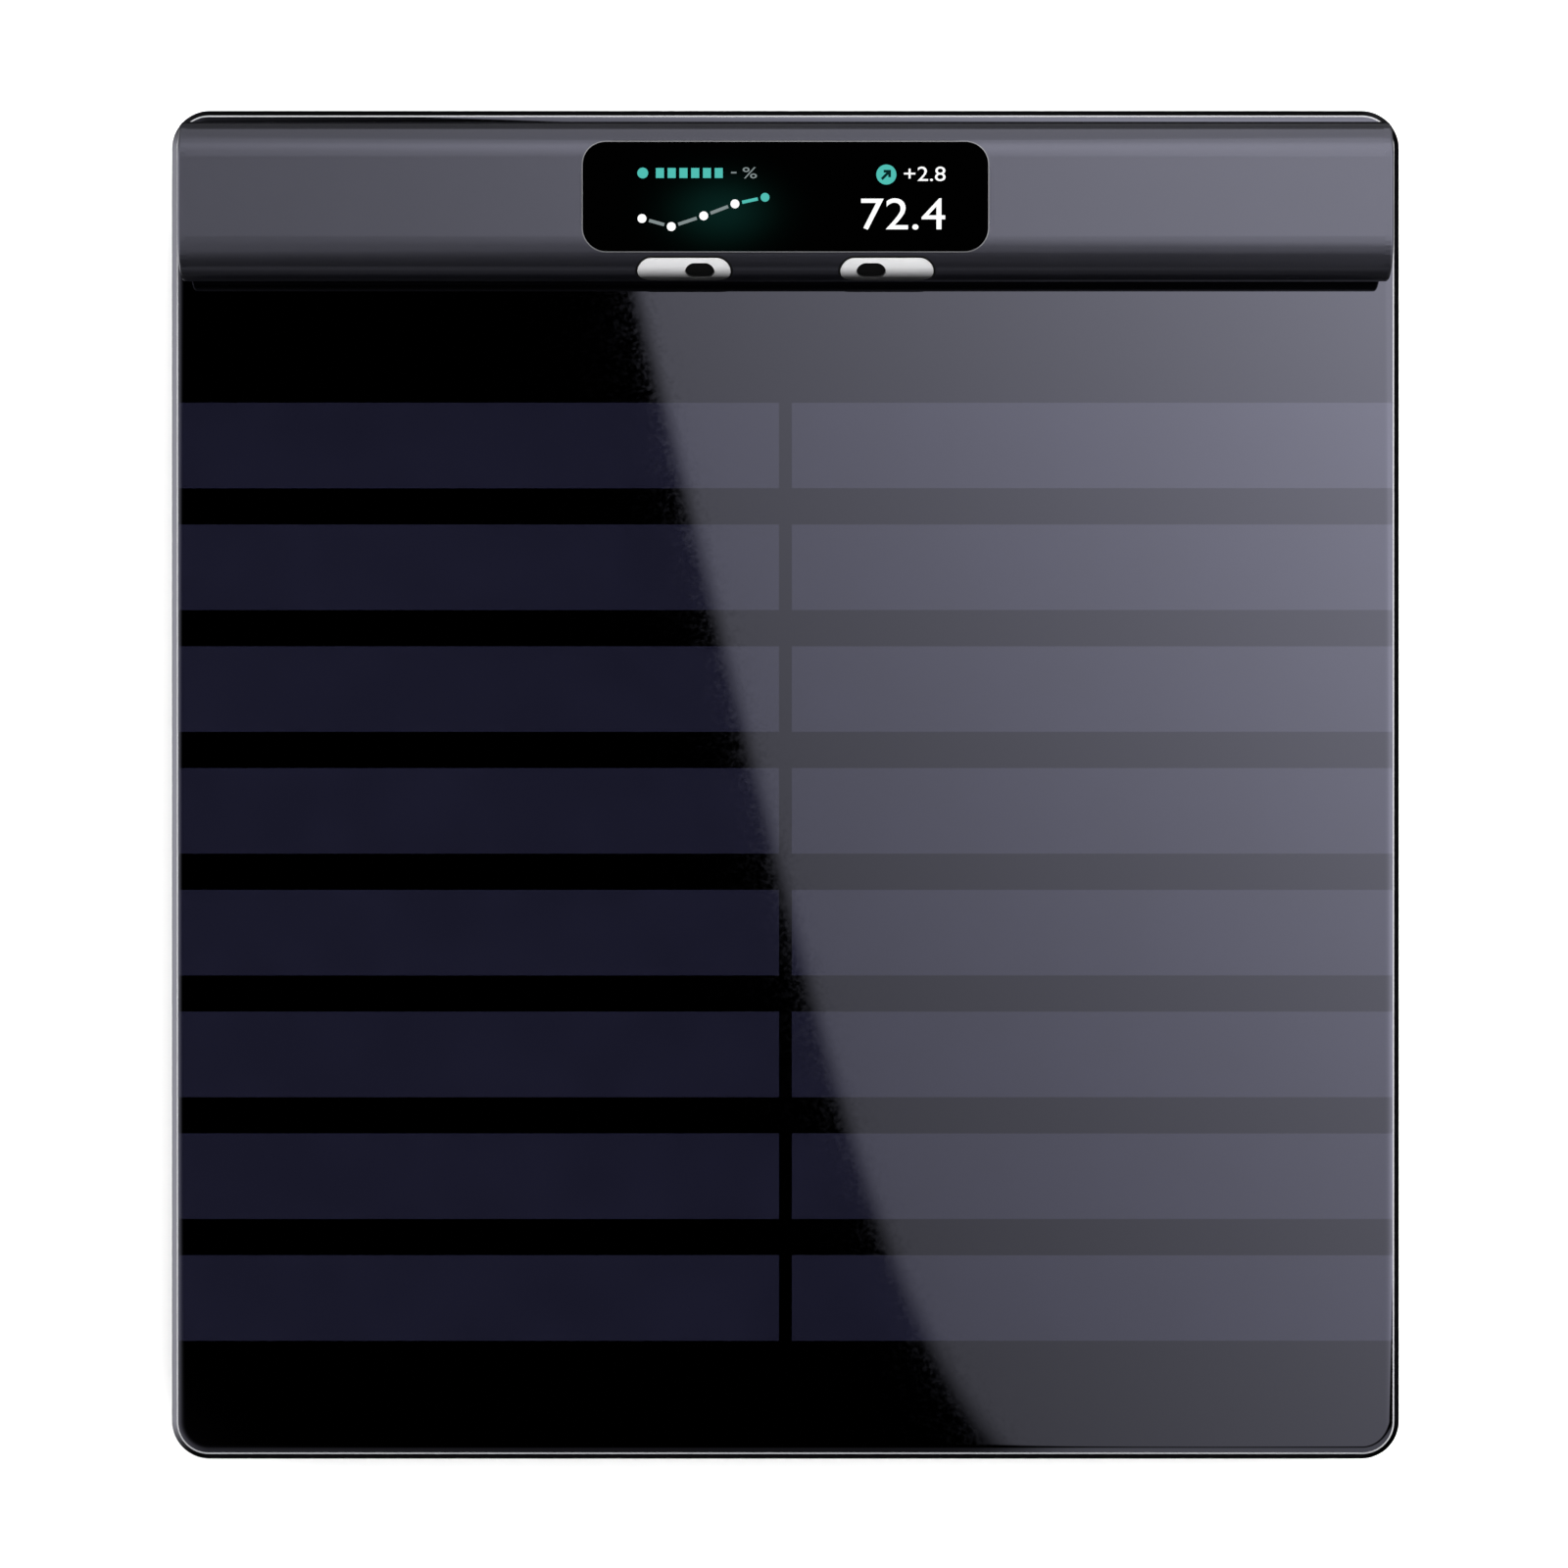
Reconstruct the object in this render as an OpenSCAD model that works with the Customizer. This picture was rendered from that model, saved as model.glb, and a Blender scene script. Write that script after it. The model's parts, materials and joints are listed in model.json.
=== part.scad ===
// Digital bathroom scale: a bevelled glass platform on a ribbed frame with four load-cell feet, and a
// lift-off handle bar with a display, hand electrodes and two push buttons. The handle parks on the glass
// over a cord port, and its cord winds on a spring reel in the base.
// Millimetres, +Z up, +Y towards the handle. The origin is on the floor under the middle of the platform.

/* [Glass platform] */
// Width of the glass, left to right
glass_w = 325; // [310:5:360]
// Depth of the glass, front to back
glass_d = 357; // [345:1:400]
// Thickness of the glass
glass_t = 6; // [5:0.5:8]
// Radius of the glass corners, seen from above
glass_corner_r = 10; // [8:1:24]
// Ground bevel along the upper and lower edges of the glass
glass_bevel = 1.1; // [0.4:0.1:1.8]
// Thickness of the adhesive tape that holds the glass
tape_t = 0.5; // [0.3:0.1:1]
// Width of the adhesive tape
tape_w = 12; // [8:1:16]

/* [Foot electrodes] */
// Rows of conductive film on the glass
film_rows = 8; // [4:1:9]
// Front-to-back size of one film strip
film_d = 22.6; // [16:0.2:28]
// Distance from one row to the next
film_pitch = 32.2; // [29:0.1:33]
// Distance from the front edge of the glass to the first strip
film_front_margin = 31.5; // [10:0.5:36]
// Gap between the left and the right strips
film_split = 3.4; // [2:0.2:8]
// Thickness of the film
film_t = 0.05; // [0.04:0.01:0.1]

/* [Base] */
// Height of the base above the floor
ground_clearance = 4; // [3.6:0.1:6]
// How far the base is set back under the glass edge
base_inset = 4; // [3:0.5:8]
// Radius of the base corners
base_corner_r = 9; // [8.5:0.5:16]
// Sloping edge of the bottom cover
cover_bevel = 5; // [5:0.1:6]
// Wall of the bottom cover
cover_t = 2; // [1.6:0.1:2.4]
// Height of the frame's outer wall
skirt_h = 10.5; // [10.5:0.1:13]
// Thickness of the frame's outer wall
skirt_t = 2; // [1.6:0.1:3]
// Thickness of the frame's deck
deck_t = 2; // [1.6:0.1:2.2]
// Thickness of the ribs
rib_t = 1.6; // [1.2:0.1:2]
// Distance between the ribs
rib_pitch = 32; // [28:1:34]

/* [Feet and load cells] */
// Distance from the glass edge to the middle of a foot
foot_inset = 34.5; // [33:0.5:38]
// Radius of the rubber foot pad
pad_r = 16.6; // [15:0.2:17.4]
// Thickness of the rubber foot pad below its cup
pad_t = 2.6; // [2:0.1:3.2]
// Radius of the foot cup
cup_r = 18; // [17.6:0.1:18.4]
// Side of the square load-cell plate
cell_w = 34; // [32:0.5:36]
// Thickness of the load-cell plate
cell_t = 1.5; // [1.2:0.1:1.8]
// Height of the load-cell plate above the cover's floor
cell_lift = 5; // [4.6:0.1:5.2]
// Width of the bending tongue in the plate
tongue_w = 12; // [11:0.5:13]
// Width of the slot round the tongue
cell_slot = 2.4; // [2:0.1:2.8]

/* [Handle] */
// Length of the handle bar
handle_len = 315.6; // [305:0.2:318]
// Front-to-back size of the handle bar
handle_d = 41.6; // [40:0.2:44]
// Thickness of the handle bar
handle_t = 17; // [16.6:0.1:18]
// Radius of the crown beside the flat top
crown_r = 12.5; // [11.5:0.1:13.5]
// Distance from the back edge of the glass to the handle
handle_back_gap = 5.1; // [4:0.1:8]
// Wall of the handle shells
shell_t = 1.8; // [1.8:0.1:2.2]
// Thickness of the end caps
cap_t = 2.2; // [2:0.1:4]
// Rounding of the end caps' outer edge
cap_round = 0.7; // [0.4:0.1:1]
// Thickness of the silicone pads under the handle
rest_pad_t = 0.6; // [0.5:0.1:1.2]
// Running clearance between fitted pieces of the handle
fit_gap = 0.12; // [0.08:0.01:0.2]

/* [Display] */
// Length of the display lens
lens_w = 105.7; // [98:0.1:112]
// Front-to-back size of the display lens
lens_d = 29; // [27:0.2:30]
// Corner radius of the display lens
lens_r = 8.6; // [5:0.1:10]
// Thickness of the display lens
lens_t = 1.1; // [0.9:0.1:1.2]
// Width of the ledge under the lens
lens_ledge = 2; // [1.2:0.1:2.2]
// Length of the display panel
panel_w = 94; // [80:1:96]
// Thickness of the display panel
panel_t = 2.4; // [1.8:0.1:2.4]

/* [Hand electrodes and buttons] */
// Angle of the front electrodes down from the top of the handle
grip_angle = 49; // [46:1:52]
// Length of a front electrode
thumb_w = 24.2; // [22:0.2:28]
// Height of a front electrode along the curve
thumb_h = 7.4; // [7:0.1:7.8]
// Distance from the middle of the handle to a front electrode
thumb_x = 26.4; // [24:0.2:32]
// Thickness of the electrode metal
electrode_t = 1; // [0.8:0.1:1]
// How far the electrodes stand out of the handle's surface
electrode_proud = 0.15; // [0:0.05:0.3]
// Width of the insulating ring round a front electrode
gasket_w = 0.5; // [0.4:0.1:0.8]
// Length of a button
button_w = 7.2; // [6:0.1:8]
// Height of a button
button_h = 4.6; // [4:0.1:4.8]
// Distance from the middle of the handle to a button
button_x = 22.3; // [21:0.1:24]
// How far a button lies below the electrode's face
button_recess = 0.45; // [0.3:0.05:0.6]
// Travel of a button
button_travel = 0.8; // [0.5:0.1:0.8]
// Clearance round a button
button_gap = 0.25; // [0.15:0.01:0.3]
// Length of a rear electrode
finger_w = 60; // [40:1:64]
// Height of a rear electrode along the curve
finger_h = 7; // [6.6:0.1:7.6]
// Distance from the middle of the handle to a rear electrode
finger_x = 70; // [60:1:76]
// Angle of the rear electrodes down from the top of the handle
finger_angle = 126; // [123:1:128]

/* [Cord reel] */
// Radius of the drum's flanges
drum_r = 33; // [30:0.5:34]
// Radius of the drum's core, where the cord winds
core_r = 23; // [20:0.5:24]
// Thickness of the drum's flanges
flange_t = 1; // [0.8:0.1:1.2]
// Clearance between the drum and its case
drum_gap = 0.4; // [0.3:0.05:0.6]
// Wall of the reel case
case_t = 1.5; // [1.2:0.1:2]
// Thickness of the reel case's floor and lid
case_plate_t = 1.2; // [1:0.1:1.4]
// Radius of the fixed spindle
spindle_r = 4; // [3.5:0.1:4.5]
// Radial clearance of the drum on its spindle
spindle_fit = 0.08; // [0.04:0.01:0.1]
// Distance from the cord port to the middle of the reel
reel_offset = 48.6; // [48:0.1:52]
// Turns of the spiral spring
spring_turns = 6; // [4:1:7]
// Thickness of the spring strip
spring_t = 0.4; // [0.3:0.05:0.6]
// Radius of the cord's way through the port
cord_hole_r = 2.5; // [2:0.1:2.7]
// Radius of the hole in the glass for the cord port
port_r = 7; // [6:0.1:8]

/* [Electronics] */
// Length of the battery
battery_w = 64; // [50:1:70]
// Depth of the battery
battery_d = 44; // [36:1:48]
// Thickness of the battery
battery_t = 6; // [5:0.5:7]
// Length of the main circuit board
board_w = 64; // [60:1:66]
// Depth of the main circuit board
board_d = 42; // [38:1:44]
// Thickness of the main circuit board
board_t = 1.6; // [1:0.1:1.6]
// Width of the charging socket
socket_w = 9; // [8.6:0.1:9.4]
// Height of the charging socket
socket_h = 3.2; // [3:0.1:3.3]
// Depth of the charging socket
socket_d = 7.4; // [6.5:0.1:8]

/* [Hidden] */
$fn = 64;

// Small overlap that lets cuts pass clean through a face
cut = 1;

// Levels of the base, from the floor up
floor_z = ground_clearance + cover_t;
seam_z = ground_clearance + cover_bevel;
frame_top_z = seam_z + skirt_h;
deck_z = frame_top_z - deck_t;
glass_z = frame_top_z + tape_t;
top_z = glass_z + glass_t;
base_w = glass_w - 2 * base_inset;
base_d = glass_d - 2 * base_inset;
cover_lip_h = 1.2;
cover_lip_t = 1.2;
cover_lip_root = 2;
cover_edge_h = 0.5;
cover_step = 0.7;
rib_root = 0.5;
rib_gap = 0.3;
rib_clear = 0.2;

// Feet and load cells
foot_x = glass_w / 2 - foot_inset;
foot_y = glass_d / 2 - foot_inset;
LEFT = -1;
RIGHT = 1;
FRONT = -1;
BACK = 1;
FEET = [[LEFT, FRONT], [RIGHT, FRONT], [LEFT, BACK], [RIGHT, BACK]];
cell_z = floor_z + cell_lift;
cup_hole_r = cup_r + 1;
cup_flange_r = cup_hole_r + 1.5;
cup_flange_z = floor_z + 0.7;
cup_flange_t = 1.5;
cup_hub_r = 5;
rivet_r = 2.4;
rivet_head_r = 4;
rivet_head_t = 0.8;
rivet_gap = 0.1;
spigot_r = 12;
spigot_h = 1.8;
cell_post_r = 3.5;
cell_post_at = cell_w / 2 - 4;
tongue_len = cell_w / 2 + 4;
gauge_w = 3;
gauge_d = 5;
gauge_t = 0.1;

// Screws: radius of the shank and of the head, height of the head, and clearance of the holes
cover_screw_r = 1.3;
cover_screw_head_r = 2.5;
cover_screw_head_h = 2;
small_screw_r = 1;
small_screw_head_r = 2.2;
small_screw_head_h = 1.1;
screw_gap = 0.1;
small_screw_bite = 4;
screw_sunk = 0.6;
cover_screw_top_gap = 3.4;
cover_post_r = 4;
cover_screw_side_y = 55;
cover_screw_back_x = 22;
cover_screw_edge = 12;
COVER_SCREWS = concat(
    [
        for (sx = [LEFT, RIGHT], sy = [FRONT, BACK])
            [sx * (base_w / 2 - cover_screw_edge), sy * cover_screw_side_y]
    ],
    [for (sx = [LEFT, RIGHT]) [sx * cover_screw_side_y, -(base_d / 2 - cover_screw_edge)]],
    [for (sx = [LEFT, RIGHT]) [sx * cover_screw_back_x, base_d / 2 - cover_screw_edge + 2]]
);

// Handle: two arcs on each side of the flat, which meet along the direction of a 3-4-5 triangle
handle_y = glass_d / 2 - handle_back_gap - handle_d / 2;
handle_z = top_z + rest_pad_t + handle_t / 2;
blend_sin = 0.6;
blend_cos = 0.8;
edge_r = (handle_t / 2 - crown_r * (1 - blend_cos)) / blend_cos;
flat_half = handle_d / 2 - edge_r * (1 - blend_sin) - crown_r * blend_sin;
edge_y = handle_d / 2 - edge_r;
shell_len = handle_len - 2 * cap_t;
side_cut_h = 4;
inner_half_t = handle_t / 2 - shell_t;
lip_t = 0.9;
lip_h = 1.2;
lip_gap = 0.25;
lip_foot_pitch = 18;
lip_end_gap = 10;
lip_foot_len = 3;
lip_foot_h = 0.8;
lip_foot_bite = 0.4;
handle_boss_r = 3;
handle_boss_end = -2.5;
handle_boss_gap = 0.1;
handle_screw_len = 6;
boss_hole_h = handle_screw_len + 1;
counterbore_depth = 3.4;
gland_hole_r = 4.5;
gland_bore_r = 1.6;
gland_top = -1.5;
wire_hole_r = 1.2;
wire_hole_h = 4;
handle_board_front = 11;
handle_board_back = 13;
handle_board_t = 1.2;
panel_d = 22;
panel_gap = 0.15;
panel_top = handle_t / 2 - lens_t - panel_gap;
panel_bottom = panel_top - panel_t;
handle_board_z = panel_bottom - fit_gap - handle_board_t;
board_peg_x = 60;
board_peg_y = 8;
board_peg_r = 2;
stake_r = 0.8;
stake_h = 0.6;
cap_slice = 0.02;

// Places along the handle: the board, the inner screws, the magnets, the rest pads and ribs, the outer screws
handle_board_w = 150;
magnet_r = 5;
magnet_t = 2;
magnet_wall = 1;
magnet_seat_wall = 2;
magnet_seat_t = 1.5;
inner_screw_x = handle_board_w / 2 + 5;
outer_screw_x = handle_len / 2 - 17.8;
handle_screw_x = [-outer_screw_x, -inner_screw_x, inner_screw_x, outer_screw_x];
magnet_x = inner_screw_x + 15;
rest_pad_start = magnet_x + magnet_r + 1;
rest_pad_end = outer_screw_x - 5;
rest_pad_x = (rest_pad_start + rest_pad_end) / 2;
rest_pad_len = rest_pad_end - rest_pad_start;
rest_pad_w = 12;
shell_rib_pitch = 12;
shell_rib_gap = 6;
rib_x = concat(
    [for (x = [magnet_x + magnet_r + 8 : shell_rib_pitch : outer_screw_x - shell_rib_gap]) x],
    [outer_screw_x + shell_rib_gap]
);
rib_depth = 2;

// Buttons, measured outward from the middle of the handle's edge curve
button_flange_t = 0.6;
button_flange_w = 1.8;
button_flange_h = 1.6;
button_flange_top = sqrt(pow(edge_r - shell_t, 2) - pow((button_h + button_flange_h) / 2, 2)) - 0.25;
button_stem_r = 1.2;
button_stem_h = 0.3;
stem_end = button_flange_top - button_flange_t - button_stem_h;
switch_gap = 0.1;
plunger_r = 1.3;
plunger_h = 0.5;
plunger_top = stem_end - button_travel - switch_gap;
switch_w = 6;
switch_d = 3.6;
switch_t = 1.7;
switch_back = plunger_top - plunger_h - switch_t;
switch_post_h = 16;
switch_post_wall = 1;
switch_post_lip = 0.4;
gasket_lip = 0.9;

// Cord reel
reel_y = handle_y - reel_offset;
case_r = drum_r + drum_gap + case_t;
drum_z = floor_z + case_plate_t + drum_gap;
lid_gap = 0.5;
lid_z = deck_z - lid_gap - case_plate_t;
reel_head_proud = 0.4;
reel_screw_foot = 2;
arbor_slot_w = 0.8;
ring_board_t = 0.8;
ring_board_z = lid_z - ring_board_t;
ring_board_r = core_r + 2;
brush_h = 0.3;
brush_gap = 0.1;
brush_w = 1.2;
brush_len = 2;
flange_hole_r = 2.5;
drum_top = ring_board_z - brush_gap - brush_h;
web_t = 2;
spring_wall = 2;
spring_room_r = core_r - spring_wall;
spring_gap = 0.3;
spring_h = drum_top - drum_z - web_t - 2 * spring_gap;
spindle_end_r = 2;
case_ear_r = 4;
case_ear_at = case_r + 2;
cord_slot_w = 10;
cord_slot_h = 3.8;
EAR_TURNS = [30, 150, 270];
port_gap = 0.1;
port_flange_r = port_r + 2;
port_flange_t = 0.4;
port_barb = 0.6;
port_below = 5;
port_bottom_z = deck_z - port_below;
port_flare = 1.4;

// Room that the ribs leave round the reel's ears, the port, the board, the load cells and narrow pieces
ear_margin = 1.5;
port_margin = 4;
board_margin = 3;
cell_margin = 6;
slot_margin = 1;

// Battery, circuit board and socket; the board stands at this share of the way out to a foot
battery_x = -70;
battery_y = 12;
bay_wall = 1.2;
bay_gap = 0.5;
board_share = 17 / 32;
board_x = foot_x * board_share;
socket_back = base_d / 2;
board_y = socket_back - skirt_t - fit_gap - board_d / 2;
board_z = seam_z + 1.3;
board_post_r = 3;
board_hole_in = 4;
socket_gap = 0.2;
socket_wall = 0.5;
socket_back_t = 1;
socket_tongue_t = 0.7;

// ---- Shared shapes ----

// Half of an upright section, from the middle out to r, with an upper and a lower bevel
function edge_section(r, h, upper, lower) = concat(
    [[0, 0]],
    lower > 0 ? [[r - lower, 0], [r, lower]] : [[r, 0]],
    upper > 0 ? [[r, h - upper], [r - upper, h]] : [[r, h]],
    [[0, h]]
);

// A plate with round corners and optional bevels
module slab(w, d, h, r, upper = 0, lower = 0) {
    half = edge_section(w / 2, h, upper, lower);
    corner_x = w / 2 - r;
    corner_y = d / 2 - r;
    rotate([90, 0, 0])
        linear_extrude(2 * corner_y, center = true)
            for (side = [0, 1]) mirror([side, 0]) polygon(half);
    for (turn = [0, 180])
        rotate(turn)
            translate([0, corner_y, 0])
                rotate([90, 0, 90])
                    linear_extrude(2 * corner_x, center = true)
                        polygon(edge_section(r, h, upper, lower));
    for (i = [0 : 3])
        translate([i == 0 || i == 3 ? corner_x : -corner_x, i < 2 ? corner_y : -corner_y, 0])
            rotate(90 * i)
                rotate_extrude(angle = 90)
                    polygon(edge_section(r, h, upper, lower));
}

// An upright wall along the edge of a slab
module slab_ring(w, d, h, r, wall) {
    difference() {
        slab(w, d, h, r);
        translate([0, 0, -cut])
            slab(w - 2 * wall, d - 2 * wall, h + 2 * cut, r - wall);
    }
}

module half_disc(r) {
    intersection() {
        circle(r);
        translate([0, -2 * r]) square([2 * r, 4 * r]);
    }
}

// Flat outline of a bar with round ends
module pill(w, h) {
    square([w - h, h], center = true);
    translate([(w - h) / 2, 0]) half_disc(h / 2);
    translate([-(w - h) / 2, 0]) rotate(180) half_disc(h / 2);
}

// Flat outline of a rectangle with round corners
module round_rect(w, h, r) {
    square([w, h - 2 * r], center = true);
    for (side = [-1, 1]) translate([0, side * (h - r) / 2]) square([w - 2 * r, r], center = true);
    for (i = [0 : 3])
        translate([i == 0 || i == 3 ? w / 2 - r : r - w / 2, i < 2 ? h / 2 - r : r - h / 2])
            rotate(90 * i)
                intersection() {
                    circle(r);
                    square(2 * r);
                }
}

// An upright tube
module tube(outer_r, inner_r, h) {
    difference() {
        cylinder(r = outer_r, h = h);
        translate([0, 0, -cut]) cylinder(r = inner_r, h = h + 2 * cut);
    }
}

// Stands children at the feet, at the board's holes, at the cover's screws and at the reel's ears
module at_feet(z) {
    for (f = FEET) translate([f.x * foot_x, f.y * foot_y, z]) children();
}

module at_board_holes(z) {
    for (px = [-1, 1], py = [-1, 1])
        translate([
            board_x + px * (board_w / 2 - board_hole_in),
            board_y + py * (board_d / 2 - board_hole_in),
            z
        ])
            children();
}

module at_cover_screws(z) {
    for (s = COVER_SCREWS) translate([s.x, s.y, z]) children();
}

module at_ears(z) {
    for (turn = EAR_TURNS)
        translate([case_ear_at * cos(turn), reel_y + case_ear_at * sin(turn), z]) children();
}

// A pan-head screw with its head down at z = 0, and the shank pointing up
module screw(shank_r, head_r, head_h, shank_len) {
    difference() {
        union() {
            cylinder(r = head_r, h = head_h);
            cylinder(r = shank_r, h = head_h + shank_len);
        }
        for (turn = [0, 90]) rotate(turn) cube([head_r * 1.1, head_r * 0.3, head_h * 0.9], center = true);
    }
}

// ---- Glass ----

module glass_platform() {
    color([0.04, 0.04, 0.05])
    difference() {
        translate([0, 0, glass_z])
            slab(glass_w, glass_d, glass_t, glass_corner_r, glass_bevel, glass_bevel);
        translate([0, handle_y, glass_z - cut]) cylinder(r = port_r, h = glass_t + 2 * cut);
    }
}

module foot_electrode_films() {
    strip_w = (glass_w - film_split) / 2 - glass_bevel;
    color([0.16, 0.16, 0.2])
    for (row = [0 : film_rows - 1], side = [LEFT, RIGHT])
        translate([
            side * (film_split + strip_w) / 2,
            -glass_d / 2 + film_front_margin + film_d / 2 + row * film_pitch,
            top_z + film_t / 2
        ])
            cube([strip_w, film_d, film_t], center = true);
}

module bond_tape() {
    color([0.2, 0.2, 0.2])
    translate([0, 0, frame_top_z])
        slab_ring(base_w - 2, base_d - 2, tape_t, base_corner_r - 1, tape_w);
}

// ---- Base ----

// Everything that the ribs keep clear of
module rib_free_space() {
    h = frame_top_z;
    bay_edge = 2 * (bay_wall + bay_gap + slot_margin);
    translate([0, reel_y, 0]) cylinder(r = case_ear_at + case_ear_r + ear_margin, h = h);
    translate([0, handle_y, 0]) cylinder(r = port_flange_r + port_margin, h = h);
    translate([-cord_slot_w / 2 - slot_margin, reel_y, 0])
        cube([cord_slot_w + 2 * slot_margin, reel_offset, h]);
    translate([board_x - board_w / 2 - board_margin, board_y - board_d / 2 - board_margin, 0])
        cube([board_w + 2 * board_margin, base_d / 2 - board_y + board_d / 2 + board_margin, h]);
    translate([battery_x, battery_y, h / 2])
        cube([battery_w + bay_edge, battery_d + bay_edge, h], center = true);
    at_feet(h / 2) cube([cell_w + 2 * cell_margin, cell_w + 2 * cell_margin, h], center = true);
}

// Two crossing rows of ribs that fill the inside of the base
module ribs(z, h) {
    room_w = base_w - 2 * skirt_t;
    room_d = base_d - 2 * skirt_t;
    count_x = floor((room_w / 2 - rib_t) / rib_pitch);
    count_y = floor((room_d / 2 - rib_t) / rib_pitch);
    difference() {
        union() {
            for (i = [-count_x : count_x])
                translate([i * rib_pitch - rib_t / 2, -room_d / 2 - skirt_t / 2, z])
                    cube([rib_t, room_d + skirt_t, h]);
            for (i = [-count_y : count_y])
                translate([-room_w / 2 - skirt_t / 2, i * rib_pitch - rib_t / 2, z])
                    cube([room_w + skirt_t, rib_t, h]);
        }
        rib_free_space();
    }
}

module chassis_frame() {
    rib_z = seam_z + cover_lip_h + rib_gap;
    color([0.1, 0.1, 0.11])
    difference() {
        union() {
            translate([0, 0, deck_z]) slab(base_w, base_d, deck_t, base_corner_r);
            translate([0, 0, seam_z]) slab_ring(base_w, base_d, deck_z - seam_z, base_corner_r, skirt_t);
            ribs(rib_z, deck_z - rib_z);
            at_cover_screws(seam_z) cylinder(r = cover_post_r, h = deck_z - seam_z);
            at_feet(cell_z + cell_t)
                for (px = [-1, 1], py = [-1, 1])
                    translate([px * cell_post_at, py * cell_post_at, 0])
                        cylinder(r = cell_post_r, h = deck_z - cell_z - cell_t);
            for (side = [LEFT, RIGHT])
                translate([side * magnet_x, handle_y, frame_top_z - magnet_t - magnet_seat_t])
                    cylinder(r = magnet_r + magnet_seat_wall, h = magnet_t + magnet_seat_t);
            at_board_holes(board_z + board_t) cylinder(r = board_post_r, h = deck_z - board_z - board_t);
        }
        at_cover_screws(seam_z - cut) cylinder(r = cover_screw_r + screw_gap, h = deck_z - seam_z);
        at_feet(cell_z)
            for (p = [-1, 1])
                translate([p * cell_post_at, p * cell_post_at, 0])
                    cylinder(r = small_screw_r + screw_gap, h = deck_z - cell_z);
        at_board_holes(board_z) cylinder(r = small_screw_r + screw_gap, h = deck_z - board_z);
        for (side = [LEFT, RIGHT])
            translate([side * magnet_x, handle_y, frame_top_z - magnet_t])
                cylinder(r = magnet_r + fit_gap, h = magnet_t + cut);
        translate([0, handle_y, deck_z - cut]) cylinder(r = port_r, h = deck_t + 2 * cut);
        translate([board_x, socket_back - skirt_t - cut, board_z + board_t + socket_h / 2])
            rotate([-90, 0, 0])
                linear_extrude(skirt_t + 2 * cut)
                    pill(socket_w + 2 * socket_gap, socket_h + 2 * socket_gap);
    }
}

module bottom_cover() {
    rib_h = seam_z - floor_z - rib_clear;
    root_z = floor_z - rib_root;
    lip_inset = skirt_t + lip_gap;
    inner_inset = cover_t + cover_step;
    color([0.09, 0.09, 0.1])
    difference() {
        union() {
            difference() {
                translate([0, 0, ground_clearance])
                    slab(base_w, base_d, cover_bevel, base_corner_r, 0, cover_bevel - cover_edge_h);
                translate([0, 0, floor_z])
                    slab(
                        base_w - 2 * inner_inset, base_d - 2 * inner_inset, cover_bevel,
                        base_corner_r - cover_t, 0, cover_bevel - cover_t - cover_edge_h
                    );
            }
            translate([0, 0, seam_z - cover_lip_root])
                slab_ring(
                    base_w - 2 * lip_inset, base_d - 2 * lip_inset, cover_lip_h + cover_lip_root,
                    base_corner_r - lip_inset, cover_lip_t
                );
            intersection() {
                ribs(root_z, rib_h + rib_root);
                translate([0, 0, root_z])
                    slab(
                        base_w - 5 * cover_t, base_d - 5 * cover_t,
                        rib_h + rib_root, base_corner_r - cover_t
                    );
            }
            at_feet(root_z) tube(cup_flange_r + 2, cup_flange_r + 0.6, rib_h + rib_root);
            at_cover_screws(root_z) cylinder(r = cover_post_r, h = seam_z - root_z);
            translate([battery_x, battery_y, root_z])
                difference() {
                    slab(
                        battery_w + 2 * (bay_gap + bay_wall), battery_d + 2 * (bay_gap + bay_wall),
                        rib_h + rib_root, bay_wall + 1
                    );
                    translate([0, 0, rib_root])
                        slab(battery_w + 2 * bay_gap, battery_d + 2 * bay_gap, rib_h + cut, 1);
                }
        }
        at_feet(ground_clearance - cut) cylinder(r = cup_hole_r, h = cover_t + 2 * cut);
        at_cover_screws(ground_clearance - cut)
            cylinder(r = cover_screw_head_r + 2 * screw_gap, h = cover_screw_head_h + screw_sunk + cut);
        at_cover_screws(ground_clearance) cylinder(r = cover_screw_r + screw_gap, h = cover_bevel + cut);
    }
}

module cover_screws() {
    shank_len = deck_z - floor_z - cover_screw_top_gap;
    color([0.35, 0.35, 0.36])
    at_cover_screws(ground_clearance + screw_sunk)
        screw(cover_screw_r, cover_screw_head_r, cover_screw_head_h, shank_len);
}

// ---- Feet and load cells ----

// A square steel plate with a bending tongue that carries the foot's rivet
module load_cell(f) {
    slot_len = tongue_len + cell_slot;
    color([0.72, 0.73, 0.75])
    translate([f.x * foot_x, f.y * foot_y, cell_z])
        difference() {
            slab(cell_w, cell_w, cell_t, 3);
            for (side = [-1, 1])
                translate([side * (tongue_w + cell_slot) / 2 - cell_slot / 2, -tongue_len / 2, -cut])
                    cube([cell_slot, slot_len, cell_t + 2 * cut]);
            translate([-tongue_w / 2 - cell_slot, tongue_len / 2, -cut])
                cube([tongue_w + 2 * cell_slot, cell_slot, cell_t + 2 * cut]);
            translate([0, 0, -cut]) cylinder(r = rivet_r + rivet_gap, h = cell_t + 2 * cut);
            for (p = [-1, 1])
                translate([p * cell_post_at, p * cell_post_at, -cut])
                    cylinder(r = small_screw_r + screw_gap, h = cell_t + 2 * cut);
        }
}

module strain_gauges() {
    color([0.8, 0.55, 0.25])
    at_feet(cell_z + cell_t)
        for (side = [-1, 1])
            translate([side * tongue_w / 4 - gauge_w / 2, -tongue_len / 2 - gauge_d / 4, 0])
                cube([gauge_w, gauge_d, gauge_t]);
}

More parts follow.
